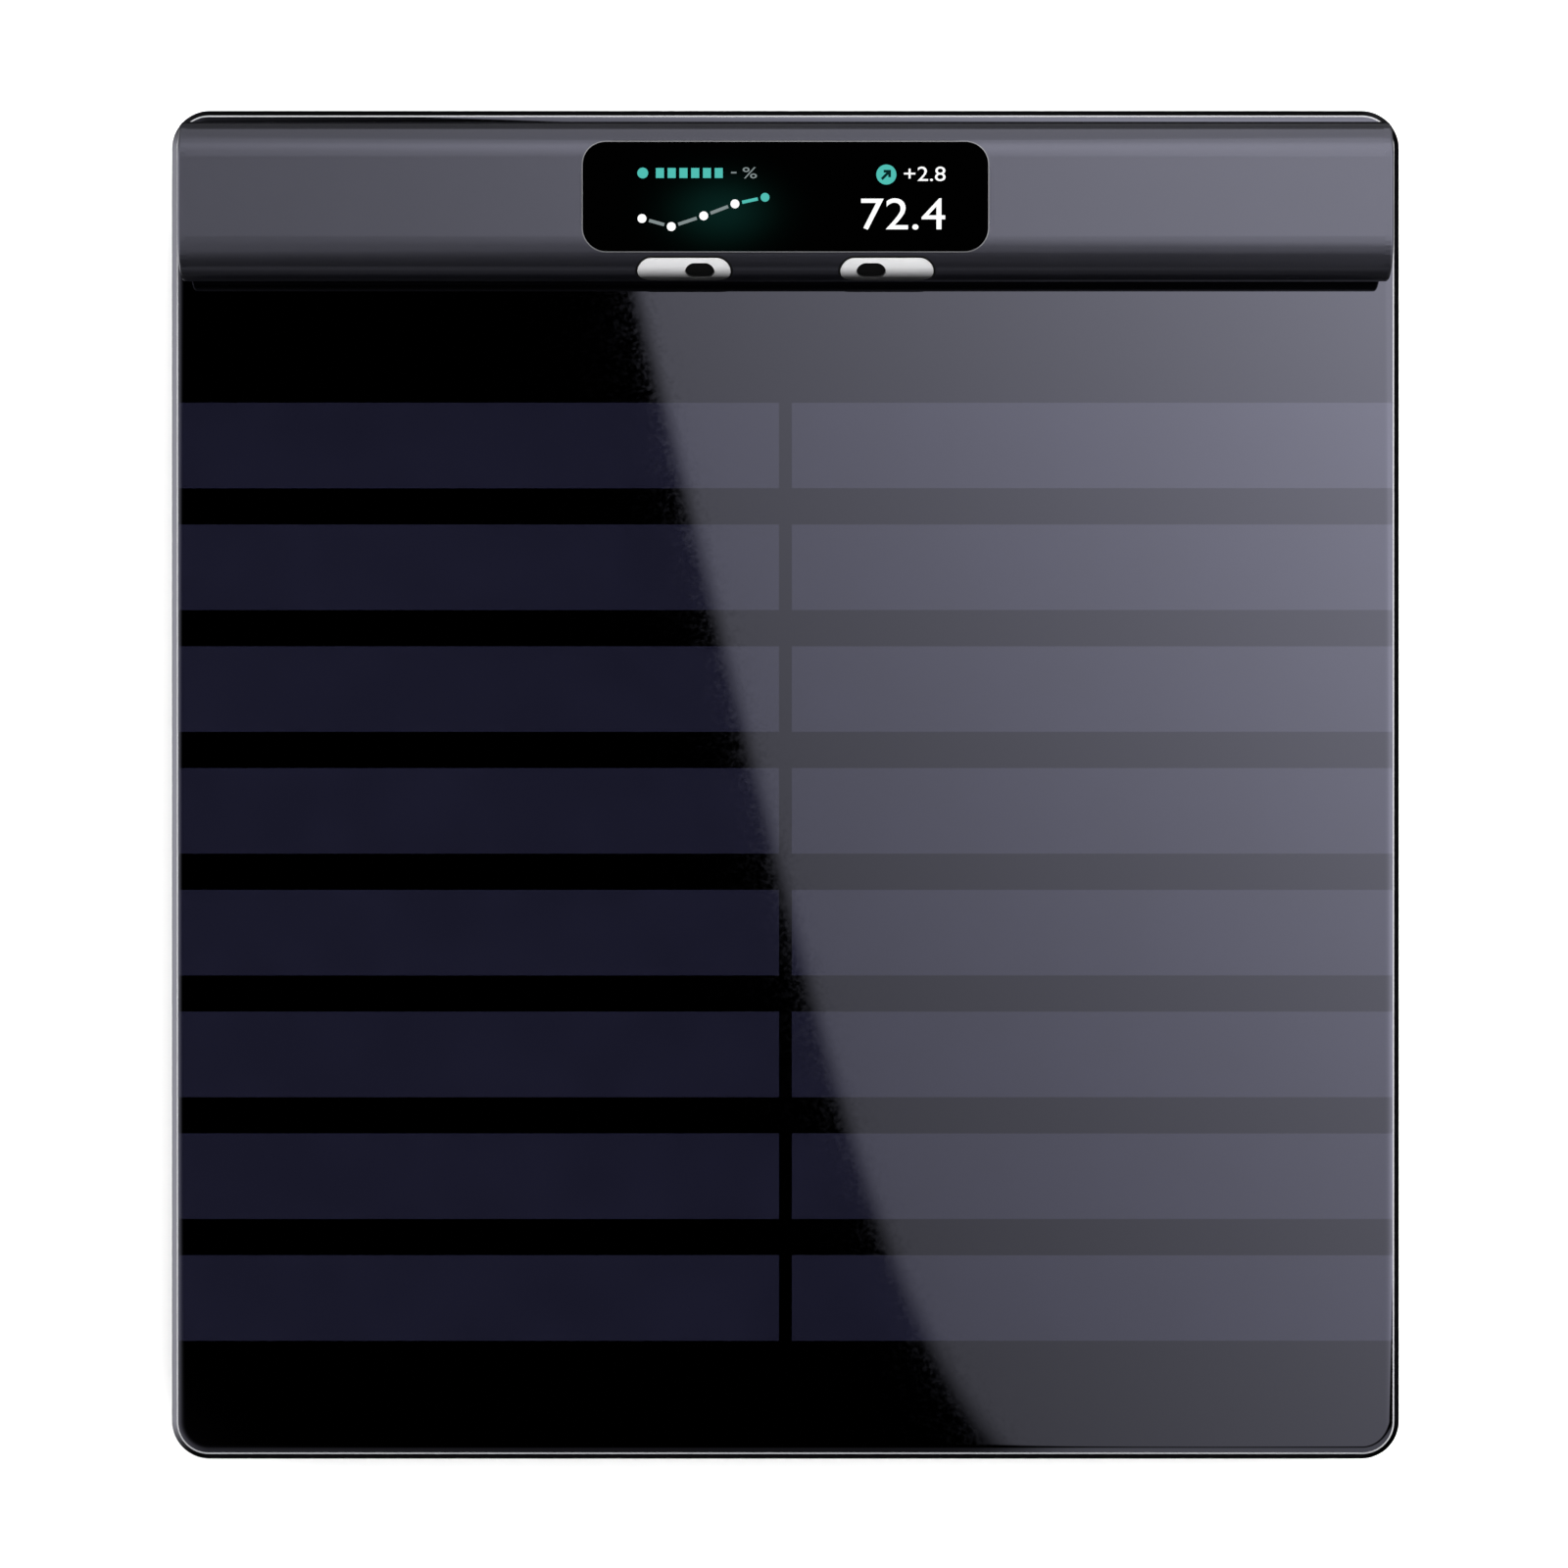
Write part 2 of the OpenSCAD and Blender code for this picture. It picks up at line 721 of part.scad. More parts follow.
module load_cell_screws() {
    color([0.6, 0.6, 0.62])
    at_feet(cell_z - small_screw_head_h)
        for (p = [-1, 1])
            translate([p * cell_post_at, p * cell_post_at, 0])
                screw(small_screw_r, small_screw_head_r, small_screw_head_h, cell_t + small_screw_bite);
}

// The plastic cup that hangs on the tongue by its rivet, and is kept in by its flange
module foot_cup(f) {
    color([0.13, 0.13, 0.14])
    translate([f.x * foot_x, f.y * foot_y, 0])
        rotate_extrude()
            polygon([
                [0, pad_t + spigot_h + rivet_gap], [spigot_r + rivet_gap, pad_t + spigot_h + rivet_gap],
                [spigot_r + rivet_gap, pad_t], [cup_r, pad_t], [cup_r, cup_flange_z],
                [cup_flange_r, cup_flange_z], [cup_flange_r, cup_flange_z + cup_flange_t],
                [cup_hub_r, cup_flange_z + cup_flange_t], [cup_hub_r, cell_z], [rivet_r, cell_z],
                [rivet_r, cell_z + cell_t], [rivet_head_r, cell_z + cell_t],
                [rivet_head_r, cell_z + cell_t + rivet_head_t], [0, cell_z + cell_t + rivet_head_t]
            ]);
}

module foot_pad(f) {
    pad_edge = 0.6;
    color([0.16, 0.16, 0.16])
    translate([f.x * foot_x, f.y * foot_y, 0])
        rotate_extrude()
            polygon([
                [0, 0], [pad_r - pad_edge, 0], [pad_r, pad_edge], [pad_r, pad_t], [spigot_r, pad_t],
                [spigot_r, pad_t + spigot_h], [0, pad_t + spigot_h]
            ]);
}

// ---- Electronics in the base ----

module battery_pack() {
    color([0.2, 0.35, 0.6])
    translate([battery_x, battery_y, floor_z + 0.1]) slab(battery_w, battery_d, battery_t, 3, 0.8, 0.8);
}

module main_board() {
    color([0.05, 0.3, 0.15])
    difference() {
        translate([board_x, board_y, board_z]) slab(board_w, board_d, board_t, 2);
        at_board_holes(board_z - cut) cylinder(r = small_screw_r + screw_gap, h = board_t + 2 * cut);
    }
}

module board_screws() {
    color([0.6, 0.6, 0.62])
    at_board_holes(board_z - small_screw_head_h)
        screw(small_screw_r, small_screw_head_r, small_screw_head_h, board_t + small_screw_bite);
}

// Shield can, processor, converter and plugs: place on the board, width, depth and height
module board_chips() {
    CHIPS = [
        [-8, 4, 18, 14, 2.2],
        [12, 6, 7, 7, 1],
        [14, -8, 6, 6, 1],
        [-18, -12, 10, 4, 3],
        [0, -12, 12, 4, 3],
        [20, 15, 3, 2, 0.8]
    ];
    color([0.65, 0.65, 0.68])
    for (c = CHIPS)
        translate([board_x + c[0] - c[2] / 2, board_y + c[1] - c[3] / 2, board_z + board_t])
            cube([c[2], c[3], c[4]]);
}

// A drawn shell with a closed back and a contact tongue in its mouth
module charging_socket() {
    inner_w = socket_w - 2 * socket_wall;
    inner_h = socket_h - 2 * socket_wall;
    color([0.75, 0.75, 0.77])
    translate([board_x, socket_back - socket_d, board_z + board_t + socket_h / 2])
        rotate([-90, 0, 0])
            union() {
                difference() {
                    linear_extrude(socket_d) pill(socket_w, socket_h);
                    translate([0, 0, socket_back_t]) linear_extrude(socket_d) pill(inner_w, inner_h);
                }
                translate([0, 0, socket_d / 2])
                    cube([inner_w - 2, socket_tongue_t, socket_d - 2 * socket_back_t], center = true);
            }
}

// ---- Cord reel ----

module reel_case() {
    room_z = floor_z + case_plate_t;
    color([0.3, 0.3, 0.32])
    difference() {
        union() {
            translate([0, reel_y, floor_z]) cylinder(r = case_r, h = lid_z - floor_z);
            at_ears(floor_z) cylinder(r = case_ear_r, h = lid_z - floor_z);
        }
        translate([0, reel_y, room_z]) cylinder(r = case_r - case_t, h = deck_z);
        translate([-cord_slot_w / 2, reel_y + core_r, (drum_z + drum_top - cord_slot_h) / 2])
            cube([cord_slot_w, case_r, cord_slot_h]);
        translate([0, reel_y, floor_z - cut])
            cylinder(r = spindle_end_r + screw_gap, h = case_plate_t + 2 * cut);
        at_ears(room_z) cylinder(r = small_screw_r + screw_gap, h = deck_z);
    }
}

module reel_lid() {
    head_z = lid_z + case_plate_t + reel_head_proud - small_screw_head_h;
    color([0.3, 0.3, 0.32])
    difference() {
        union() {
            translate([0, reel_y, lid_z]) cylinder(r = case_r, h = case_plate_t);
            at_ears(lid_z) cylinder(r = case_ear_r, h = case_plate_t);
        }
        at_ears(head_z) cylinder(r = small_screw_head_r + screw_gap, h = small_screw_head_h + cut);
        translate([0, reel_y, lid_z - cut])
            cylinder(r = spindle_end_r + screw_gap, h = case_plate_t + 2 * cut);
        at_ears(lid_z - cut) cylinder(r = small_screw_r + screw_gap, h = deck_z);
    }
}

module reel_screws() {
    color([0.6, 0.6, 0.62])
    at_ears(lid_z + case_plate_t + reel_head_proud)
        rotate([180, 0, 0])
            screw(small_screw_r, small_screw_head_r, small_screw_head_h, lid_z - floor_z - reel_screw_foot);
}

// The fixed arbor that the drum turns on, with a slot for the spring's inner end
module reel_spindle() {
    arbor_z = floor_z + case_plate_t;
    color([0.7, 0.7, 0.72])
    translate([0, reel_y, 0])
        difference() {
            union() {
                translate([0, 0, floor_z]) cylinder(r = spindle_end_r, h = lid_z + case_plate_t - floor_z);
                translate([0, 0, arbor_z]) cylinder(r = spindle_r, h = ring_board_z - arbor_z);
            }
            translate([-spindle_r - cut, -arbor_slot_w / 2, drum_z + web_t])
                cube([2 * spindle_r + 2 * cut, arbor_slot_w, ring_board_z]);
        }
}

// Drum with two flanges for the cord, a room for the spring and a bearing on the spindle
module reel_drum() {
    h = drum_top - drum_z;
    color([0.85, 0.85, 0.83])
    translate([0, reel_y, drum_z])
        difference() {
            rotate_extrude()
                polygon([
                    [spindle_r + spindle_fit, 0], [drum_r, 0], [drum_r, flange_t], [core_r, flange_t],
                    [core_r, h - flange_t], [drum_r, h - flange_t], [drum_r, h], [spring_room_r, h],
                    [spring_room_r, web_t], [spindle_r + spindle_fit, web_t]
                ]);
            for (turn = [0 : 45 : 315])
                rotate(turn) translate([(drum_r + core_r) / 2, 0, -cut])
                    cylinder(r = flange_hole_r, h = flange_t + 2 * cut);
        }
}

// Flat spiral from the spindle to the drum's inner wall
module reel_spring() {
    inner_r = spindle_r + 0.5;
    outer_r = spring_room_r - spring_gap - spring_t;
    step_turn = 20;
    steps = spring_turns * 360 / step_turn;
    function spiral(i) = inner_r + (outer_r - inner_r) * i / steps;
    function point(i, r) = [r * cos(step_turn * i), r * sin(step_turn * i)];
    color([0.55, 0.56, 0.6])
    translate([0, reel_y, drum_z + web_t + spring_gap])
        linear_extrude(spring_h)
            polygon(concat(
                [for (i = [0 : steps]) point(i, spiral(i))],
                [for (i = [steps : -1 : 0]) point(i, spiral(i) + spring_t)]
            ));
}

// Ring-shaped circuit board under the lid, which the drum's brushes run under
module slip_ring_board() {
    color([0.05, 0.3, 0.15])
    translate([0, reel_y, ring_board_z]) tube(ring_board_r, spindle_end_r + screw_gap, ring_board_t);
}

module slip_ring_brushes() {
    color([0.85, 0.65, 0.3])
    for (turn = [0 : 90 : 270])
        translate([0, reel_y, drum_top])
            rotate(turn)
                translate([(spring_room_r + core_r - brush_w) / 2, -brush_len / 2, 0])
                    cube([brush_w, brush_len, brush_h]);
}

// Bush in the glass that leads the cord up to the handle, clipped under the deck
module cord_port() {
    body_r = port_r - port_gap;
    flare_r = cord_hole_r + port_flare;
    flange_z = top_z + port_flange_t;
    color([0.08, 0.08, 0.09])
    translate([0, handle_y, 0])
        rotate_extrude()
            polygon([
                [cord_hole_r, port_bottom_z + port_flare], [flare_r, port_bottom_z],
                [body_r - 1, port_bottom_z], [body_r + port_barb, deck_z - 2],
                [body_r + port_barb, deck_z - port_gap], [body_r, deck_z - port_gap], [body_r, top_z],
                [port_flange_r - port_flange_t, top_z], [port_flange_r - 2 * port_flange_t, flange_z],
                [flare_r, flange_z], [cord_hole_r, flange_z - port_flare]
            ]);
}

module dock_magnets() {
    color([0.75, 0.76, 0.78])
    for (side = [LEFT, RIGHT])
        translate([side * magnet_x, handle_y, frame_top_z - magnet_t])
            cylinder(r = magnet_r, h = magnet_t);
}

// ---- Handle ----

// Puts a piece that is drawn round the handle's middle in its parked place
module in_handle() {
    translate([0, handle_y, handle_z]) children();
}

// Cross-section of the handle, drawn inside its surface by an inset
module grip_section(inset = 0) {
    reach = 2 * crown_r;
    square([2 * flat_half, handle_t - 2 * inset], center = true);
    for (side = [0, 1]) mirror([side, 0]) {
        for (upper = [0, 1]) mirror([0, upper])
            translate([flat_half, handle_t / 2 - crown_r])
                intersection() {
                    circle(crown_r - inset);
                    polygon([[0, 0], [reach * blend_sin, reach * blend_cos], [0, reach]]);
                }
        translate([edge_y, 0])
            intersection() {
                circle(edge_r - inset);
                polygon([
                    [0, 0], [reach * blend_sin, -reach * blend_cos], [reach * blend_sin, reach * blend_cos]
                ]);
            }
    }
}

// The handle's section carried along its length
module grip_bar(inset, length) {
    rotate([90, 0, 90]) linear_extrude(length, center = true) grip_section(inset);
}

// A layer of the handle's wall, between two insets
module grip_layer(outer, inner, length) {
    rotate([90, 0, 90])
        linear_extrude(length, center = true)
            difference() {
                grip_section(outer);
                grip_section(inner);
            }
}

// Stands children on the handle's side curve: local z runs outward at an angle down from the top
module on_side(x, y_side, angle) {
    translate([x, y_side * edge_y, 0]) rotate([-y_side * angle, 0, 0]) children();
}

module side_pill(x, y_side, angle, w, h) {
    on_side(x, y_side, angle)
        translate([0, 0, edge_r - side_cut_h]) linear_extrude(2 * side_cut_h) pill(w, h);
}

// One half of the handle's hollow shell: 1 is the upper half and -1 the lower half
module half_shell(half) {
    reach = handle_d;
    rotate([90, 0, 90])
        linear_extrude(shell_len, center = true)
            intersection() {
                difference() {
                    grip_section(0);
                    grip_section(shell_t);
                }
                translate([-reach, half > 0 ? 0 : -reach]) square([2 * reach, reach]);
            }
}

// Cross ribs inside one half of the shell, outside the display and the circuit board
module shell_ribs(half) {
    reach = handle_d;
    room = lip_h + 0.3;
    for (side = [LEFT, RIGHT], x = rib_x)
        translate([side * x, 0, 0])
            rotate([90, 0, 90])
                linear_extrude(rib_t / 2, center = true)
                    intersection() {
                        difference() {
                            grip_section(shell_t / 2);
                            grip_section(shell_t + rib_depth);
                        }
                        translate([-reach, half > 0 ? room : -reach - room]) square([2 * reach, reach]);
                    }
}

module handle_top_shell() {
    pocket_w = thumb_w + 2 * (gasket_w + fit_gap);
    pocket_h = thumb_h + 2 * (gasket_w + fit_gap);
    color([0.11, 0.11, 0.12])
    in_handle()
    difference() {
        union() {
            half_shell(1);
            shell_ribs(1);
            for (x = handle_screw_x)
                translate([x, 0, handle_boss_end])
                    cylinder(r = handle_boss_r, h = inner_half_t + shell_t / 2 - handle_boss_end);
        }
        for (x = handle_screw_x)
            translate([x, 0, handle_boss_end - cut]) cylinder(r = small_screw_r + screw_gap, h = boss_hole_h);
        intersection() {
            grip_layer(-cut, lens_t + fit_gap, handle_len);
            linear_extrude(handle_t)
                round_rect(lens_w + 2 * fit_gap, lens_d + 2 * fit_gap, lens_r + fit_gap);
        }
        linear_extrude(handle_t)
            round_rect(lens_w - 2 * lens_ledge, lens_d - 2 * lens_ledge, lens_r - lens_ledge);
        for (side = [LEFT, RIGHT])
            side_pill(side * thumb_x, FRONT, grip_angle, pocket_w, pocket_h);
    }
}

module handle_bottom_shell() {
    floor_mid = -inner_half_t - shell_t / 2;
    finger_pocket_w = finger_w + 2 * fit_gap;
    finger_pocket_h = finger_h + 2 * fit_gap;
    lip_y = handle_d / 2 - shell_t - lip_gap - lip_t;
    lip_len = shell_len - 2 * lip_end_gap;
    foot_start = lip_len / 2 - 4;
    color([0.11, 0.11, 0.12])
    in_handle()
    difference() {
        union() {
            half_shell(-1);
            difference() {
                for (side = [0, 1]) mirror([0, side, 0]) {
                    translate([-lip_len / 2, lip_y, -lip_h]) cube([lip_len, lip_t, 2 * lip_h - 0.3]);
                    for (x = [-foot_start : lip_foot_pitch : lip_len / 2])
                        translate([x, lip_y, -lip_h])
                            cube([lip_foot_len, lip_t + lip_gap + lip_foot_bite, lip_foot_h]);
                }
                for (side = [LEFT, RIGHT])
                    translate([side * button_x, -handle_d / 2, 0])
                        cube([2 * button_w, handle_d / 2, handle_t], center = true);
            }
            shell_ribs(-1);
            for (x = handle_screw_x)
                translate([x, 0, floor_mid])
                    cylinder(r = handle_boss_r + 1, h = handle_boss_end - handle_boss_gap - floor_mid);
            for (px = [-1, 1], py = [-1, 1])
                translate([px * board_peg_x, py * board_peg_y, floor_mid]) {
                    cylinder(r = board_peg_r, h = handle_board_z - floor_mid);
                    cylinder(r = stake_r, h = handle_board_z + handle_board_t + stake_h - floor_mid);
                }
            for (side = [LEFT, RIGHT]) {
                translate([side * magnet_x, 0, floor_mid])
                    cylinder(r = magnet_r + fit_gap + magnet_wall, h = magnet_t + shell_t / 2);
                intersection() {
                    on_side(side * button_x, FRONT, grip_angle)
                        translate([0, 0, switch_back - switch_post_h])
                            linear_extrude(switch_post_h)
                                square(
                                    [switch_w + 2 * switch_post_wall, switch_d + 2 * switch_post_lip],
                                    center = true
                                );
                    grip_bar(shell_t / 2, shell_len);
                }
            }
        }
        for (x = handle_screw_x) {
            translate([x, 0, -handle_t / 2 - cut])
                cylinder(r = small_screw_head_r + 2 * screw_gap, h = counterbore_depth + cut);
            translate([x, 0, -handle_t / 2]) cylinder(r = small_screw_r + screw_gap, h = handle_t / 2);
        }
        for (side = [LEFT, RIGHT]) {
            translate([side * magnet_x, 0, -inner_half_t])
                cylinder(r = magnet_r + fit_gap, h = handle_t / 2);
            intersection() {
                grip_layer(-cut, electrode_t + fit_gap, handle_len);
                side_pill(side * finger_x, BACK, finger_angle, finger_pocket_w, finger_pocket_h);
            }
            on_side(side * finger_x, BACK, finger_angle)
                translate([0, 0, edge_r - wire_hole_h]) cylinder(r = wire_hole_r, h = wire_hole_h);
        }
        translate([0, 0, -handle_t / 2 - cut]) cylinder(r = gland_hole_r, h = shell_t + 2 * cut);
    }
}

// End cap: a rounded plate with a hollow spigot that slides into the shells
module handle_cap(side) {
    spigot = shell_t + fit_gap;
    spigot_len = 5;
    spigot_wall = 1.2;
    color([0.1, 0.1, 0.11])
    in_handle()
    translate([side * (shell_len / 2), 0, 0])
        mirror([side < 0 ? 1 : 0, 0, 0])
            rotate([90, 0, 90]) {
                hull() {
                    linear_extrude(cap_t - cap_round) grip_section(0);
                    for (a = [30, 60, 90])
                        translate([0, 0, cap_t - cap_round * (1 - sin(a)) - cap_slice])
                            linear_extrude(cap_slice) grip_section(cap_round * (1 - cos(a)));
                }
                translate([0, 0, -spigot_len])
                    linear_extrude(spigot_len)
                        difference() {
                            grip_section(spigot);
                            grip_section(spigot + spigot_wall);
                        }
            }
}

module display_lens() {
    color([0.01, 0.01, 0.01])
    in_handle()
    intersection() {
        grip_layer(0, lens_t, handle_len);
        linear_extrude(handle_t) round_rect(lens_w, lens_d, lens_r);
    }
}

module display_panel() {
    color([0.15, 0.16, 0.18])
    in_handle()
    translate([0, 0, (panel_top + panel_bottom) / 2]) cube([panel_w, panel_d, panel_t], center = true);
}

module handle_board() {
    color([0.05, 0.3, 0.15])
    in_handle()
    difference() {
        translate([-handle_board_w / 2, -handle_board_front, handle_board_z])
            cube([handle_board_w, handle_board_front + handle_board_back, handle_board_t]);
        for (px = [-1, 1], py = [-1, 1])
            translate([px * board_peg_x, py * board_peg_y, handle_board_z - cut])
                cylinder(r = stake_r + screw_gap, h = handle_board_t + 2 * cut);
    }
}

// Chips and plugs under the handle's board: place, width, depth and height
module handle_board_chips() {
    CHIPS = [
        [-40, 3, 8, 8, 1],
        [-20, -3, 5, 5, 1],
        [12, 4, 10, 4, 2.4],
        [36, 0, 6, 6, 1],
        [48, 5, 4, 3, 0.8]
    ];
    color([0.2, 0.2, 0.22])
    in_handle()
    for (c = CHIPS)
        translate([c[0] - c[2] / 2, c[1] - c[3] / 2, handle_board_z - c[4]]) cube([c[2], c[3], c[4]]);
}

module thumb_electrode(side) {
    color([0.78, 0.79, 0.8])
    in_handle()
    difference() {
        intersection() {
            grip_layer(-electrode_proud, electrode_t, handle_len / 3);
            side_pill(side * thumb_x, FRONT, grip_angle, thumb_w, thumb_h);
        }
        side_pill(side * button_x, FRONT, grip_angle, button_w + 2 * button_gap, button_h + 2 * button_gap);
    }
}

// Rubber ring round the electrode, with a lip under its edge
module thumb_gasket(side) {
    ring_w = thumb_w + 2 * gasket_w;
    ring_h = thumb_h + 2 * gasket_w;
    color([0.03, 0.03, 0.03])
    in_handle()
    difference() {
        intersection() {
            grip_layer(0, shell_t, handle_len / 3);
            side_pill(side * thumb_x, FRONT, grip_angle, ring_w, ring_h);
            translate([-handle_len / 2, -handle_d, fit_gap]) cube([handle_len, handle_d, handle_t]);
        }
        intersection() {
            grip_layer(-cut, electrode_t + fit_gap, handle_len / 3);
            side_pill(side * thumb_x, FRONT, grip_angle, thumb_w + 2 * fit_gap, thumb_h + 2 * fit_gap);
        }
        side_pill(side * thumb_x, FRONT, grip_angle, thumb_w - 2 * gasket_lip, thumb_h - 2 * gasket_lip);
    }
}

module finger_electrode(side) {
    color([0.78, 0.79, 0.8])
    in_handle()
    intersection() {
        grip_layer(-electrode_proud, electrode_t, handle_len);
        side_pill(side * finger_x, BACK, finger_angle, finger_w, finger_h);
    }
}

// Push button with a curved face, a flange that keeps it inside the wall, and a stem for its switch
module button(side) {
    color([0.05, 0.05, 0.06])
    in_handle()
    union() {
        intersection() {
            grip_bar(button_recess, handle_len / 3);
            on_side(side * button_x, FRONT, grip_angle)
                translate([0, 0, button_flange_top]) linear_extrude(edge_r) pill(button_w, button_h);
        }
        on_side(side * button_x, FRONT, grip_angle) {
            translate([0, 0, button_flange_top - button_flange_t])
                linear_extrude(button_flange_t) pill(button_w + button_flange_w, button_h + button_flange_h);
            translate([0, 0, stem_end]) cylinder(r = button_stem_r, h = button_stem_h + button_flange_t / 2);
        }
    }
}

module button_switches() {
    color([0.8, 0.8, 0.78])
    in_handle()
    for (side = [LEFT, RIGHT])
        on_side(side * button_x, FRONT, grip_angle) {
            translate([-switch_w / 2, -switch_d / 2, switch_back]) cube([switch_w, switch_d, switch_t]);
            translate([0, 0, switch_back]) cylinder(r = plunger_r, h = switch_t + plunger_h);
        }
}

module handle_screws() {
    color([0.35, 0.35, 0.36])
    in_handle()
    for (x = handle_screw_x)
        translate([x, 0, -handle_t / 2 + counterbore_depth - small_screw_head_h])
            screw(small_screw_r, small_screw_head_r, small_screw_head_h, handle_screw_len);
}

module handle_magnets() {
    color([0.75, 0.76, 0.78])
    in_handle()
    for (side = [LEFT, RIGHT])
        translate([side * magnet_x, 0, -inner_half_t]) cylinder(r = magnet_r, h = magnet_t);
}

module rest_pads() {
    color([0.3, 0.3, 0.31])
    in_handle()
    for (side = [LEFT, RIGHT])
        translate([side * rest_pad_x, 0, -handle_t / 2 - rest_pad_t])
            linear_extrude(rest_pad_t) pill(rest_pad_len, rest_pad_w);
}

// Socket for the cord's strain relief in the middle of the handle's underside
module handle_gland() {
    bottom = -handle_t / 2;
    neck_r = gland_hole_r - screw_gap;
    collar_r = neck_r + 1.6;
    upper_r = gland_bore_r + 1.8;
    color([0.05, 0.05, 0.06])
    in_handle()
    rotate_extrude()
        polygon([
            [gland_bore_r, gland_top], [gland_bore_r, bottom + 1.5], [gland_bore_r + 1.4, bottom],
            [neck_r, bottom], [neck_r, -inner_half_t], [collar_r, -inner_half_t],
            [collar_r, 1 - inner_half_t], [upper_r, 1 - inner_half_t], [upper_r, gland_top]
        ]);
}

glass_platform();
foot_electrode_films();
bond_tape();
chassis_frame();
bottom_cover();
cover_screws();
load_cell(FEET[0]);  // load_cell_fl
load_cell(FEET[1]);  // load_cell_fr
load_cell(FEET[2]);  // load_cell_bl
load_cell(FEET[3]);  // load_cell_br
strain_gauges();
load_cell_screws();
foot_cup(FEET[0]);  // foot_cup_fl
foot_cup(FEET[1]);  // foot_cup_fr
foot_cup(FEET[2]);  // foot_cup_bl
foot_cup(FEET[3]);  // foot_cup_br
foot_pad(FEET[0]);  // foot_pad_fl
foot_pad(FEET[1]);  // foot_pad_fr
foot_pad(FEET[2]);  // foot_pad_bl
foot_pad(FEET[3]);  // foot_pad_br
battery_pack();
main_board();
board_chips();
board_screws();
charging_socket();
reel_case();
reel_lid();
reel_screws();
reel_spindle();
reel_drum();
reel_spring();
slip_ring_board();
slip_ring_brushes();
cord_port();
dock_magnets();
handle_top_shell();
handle_bottom_shell();
handle_cap(LEFT);  // handle_cap_left
handle_cap(RIGHT);  // handle_cap_right
display_lens();
display_panel();
handle_board();
handle_board_chips();
thumb_electrode(LEFT);  // thumb_electrode_left
thumb_electrode(RIGHT);  // thumb_electrode_right
thumb_gasket(LEFT);  // thumb_gasket_left
thumb_gasket(RIGHT);  // thumb_gasket_right
finger_electrode(LEFT);  // finger_electrode_left
finger_electrode(RIGHT);  // finger_electrode_right
button(LEFT);  // button_left
button(RIGHT);  // button_right
button_switches();
handle_screws();
handle_magnets();
rest_pads();
handle_gland();
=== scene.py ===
import json
import math

import bpy
import numpy as np
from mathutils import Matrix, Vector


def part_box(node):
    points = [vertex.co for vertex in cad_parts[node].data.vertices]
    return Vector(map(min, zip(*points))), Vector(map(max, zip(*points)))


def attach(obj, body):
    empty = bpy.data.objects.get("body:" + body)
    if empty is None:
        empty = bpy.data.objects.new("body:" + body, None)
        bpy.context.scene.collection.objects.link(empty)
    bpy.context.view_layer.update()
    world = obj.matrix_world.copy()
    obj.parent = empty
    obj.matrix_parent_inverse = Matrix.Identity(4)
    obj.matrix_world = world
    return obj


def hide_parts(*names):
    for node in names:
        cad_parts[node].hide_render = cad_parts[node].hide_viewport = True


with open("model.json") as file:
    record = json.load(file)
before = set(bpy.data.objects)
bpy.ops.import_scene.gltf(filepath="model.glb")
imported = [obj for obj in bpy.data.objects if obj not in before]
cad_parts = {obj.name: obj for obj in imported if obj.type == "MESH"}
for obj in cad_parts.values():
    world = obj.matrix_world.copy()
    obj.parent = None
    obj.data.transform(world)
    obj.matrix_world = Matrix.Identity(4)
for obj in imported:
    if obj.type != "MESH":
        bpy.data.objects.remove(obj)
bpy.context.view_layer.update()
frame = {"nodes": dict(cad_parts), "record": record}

MM = 0.001
NODES = frame["nodes"]


# ---- Places and sizes, taken from the frame ----

glass_lo, glass_hi = (np.array(c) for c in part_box("glass_platform"))
port_lo, port_hi = (np.array(c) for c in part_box("cord_port"))
under_lo, under_hi = (np.array(c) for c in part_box("handle_bottom_shell"))
shell_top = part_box("handle_top_shell")[1][2]

GLASS_TOP = glass_hi[2]
GLASS_CORNER_R = 10 * MM
# The hole in the glass for the cord port
PORT_R = 7 * MM
PORT_Y = (port_lo[1] + port_hi[1]) / 2
# Upper edge of the glass, from the flat outward: a soft roll-off, the ground facet, whose pale
# finish also paints a highlight line, and a steep chamfer, each with its width and its tilt in
# degrees
EDGE_ROLL_W, EDGE_ROLL_TILT = 2.2 * MM, 9
EDGE_FACET_W, EDGE_FACET_TILT = 0.42 * MM, 20
EDGE_CHAMFER_W, EDGE_CHAMFER_TILT = 1.5 * MM, 42
LOWER_EDGE_R = 1.0 * MM
# A loop this far inside an edge keeps the flat beside it flat under smooth shading
GUARD_W = 0.4 * MM

HANDLE_Y = (under_lo[1] + under_hi[1]) / 2
HANDLE_D = under_hi[1] - under_lo[1]
HANDLE_T = shell_top - under_lo[2]
HANDLE_Z = (shell_top + under_lo[2]) / 2
# The handle's section: a flat top, a crown arc beside it and an edge arc. The arcs meet where
# their common radius runs 3 across to 4 up, as in a 3-4-5 triangle
ACROSS, UP = 0.6, 0.8
CROWN_R = 12.5 * MM
EDGE_R = (HANDLE_T / 2 - CROWN_R * (1 - UP)) / UP
FLAT_HALF = HANDLE_D / 2 - EDGE_R * (1 - ACROSS) - CROWN_R * ACROSS


# ---- Meshes from grids ----

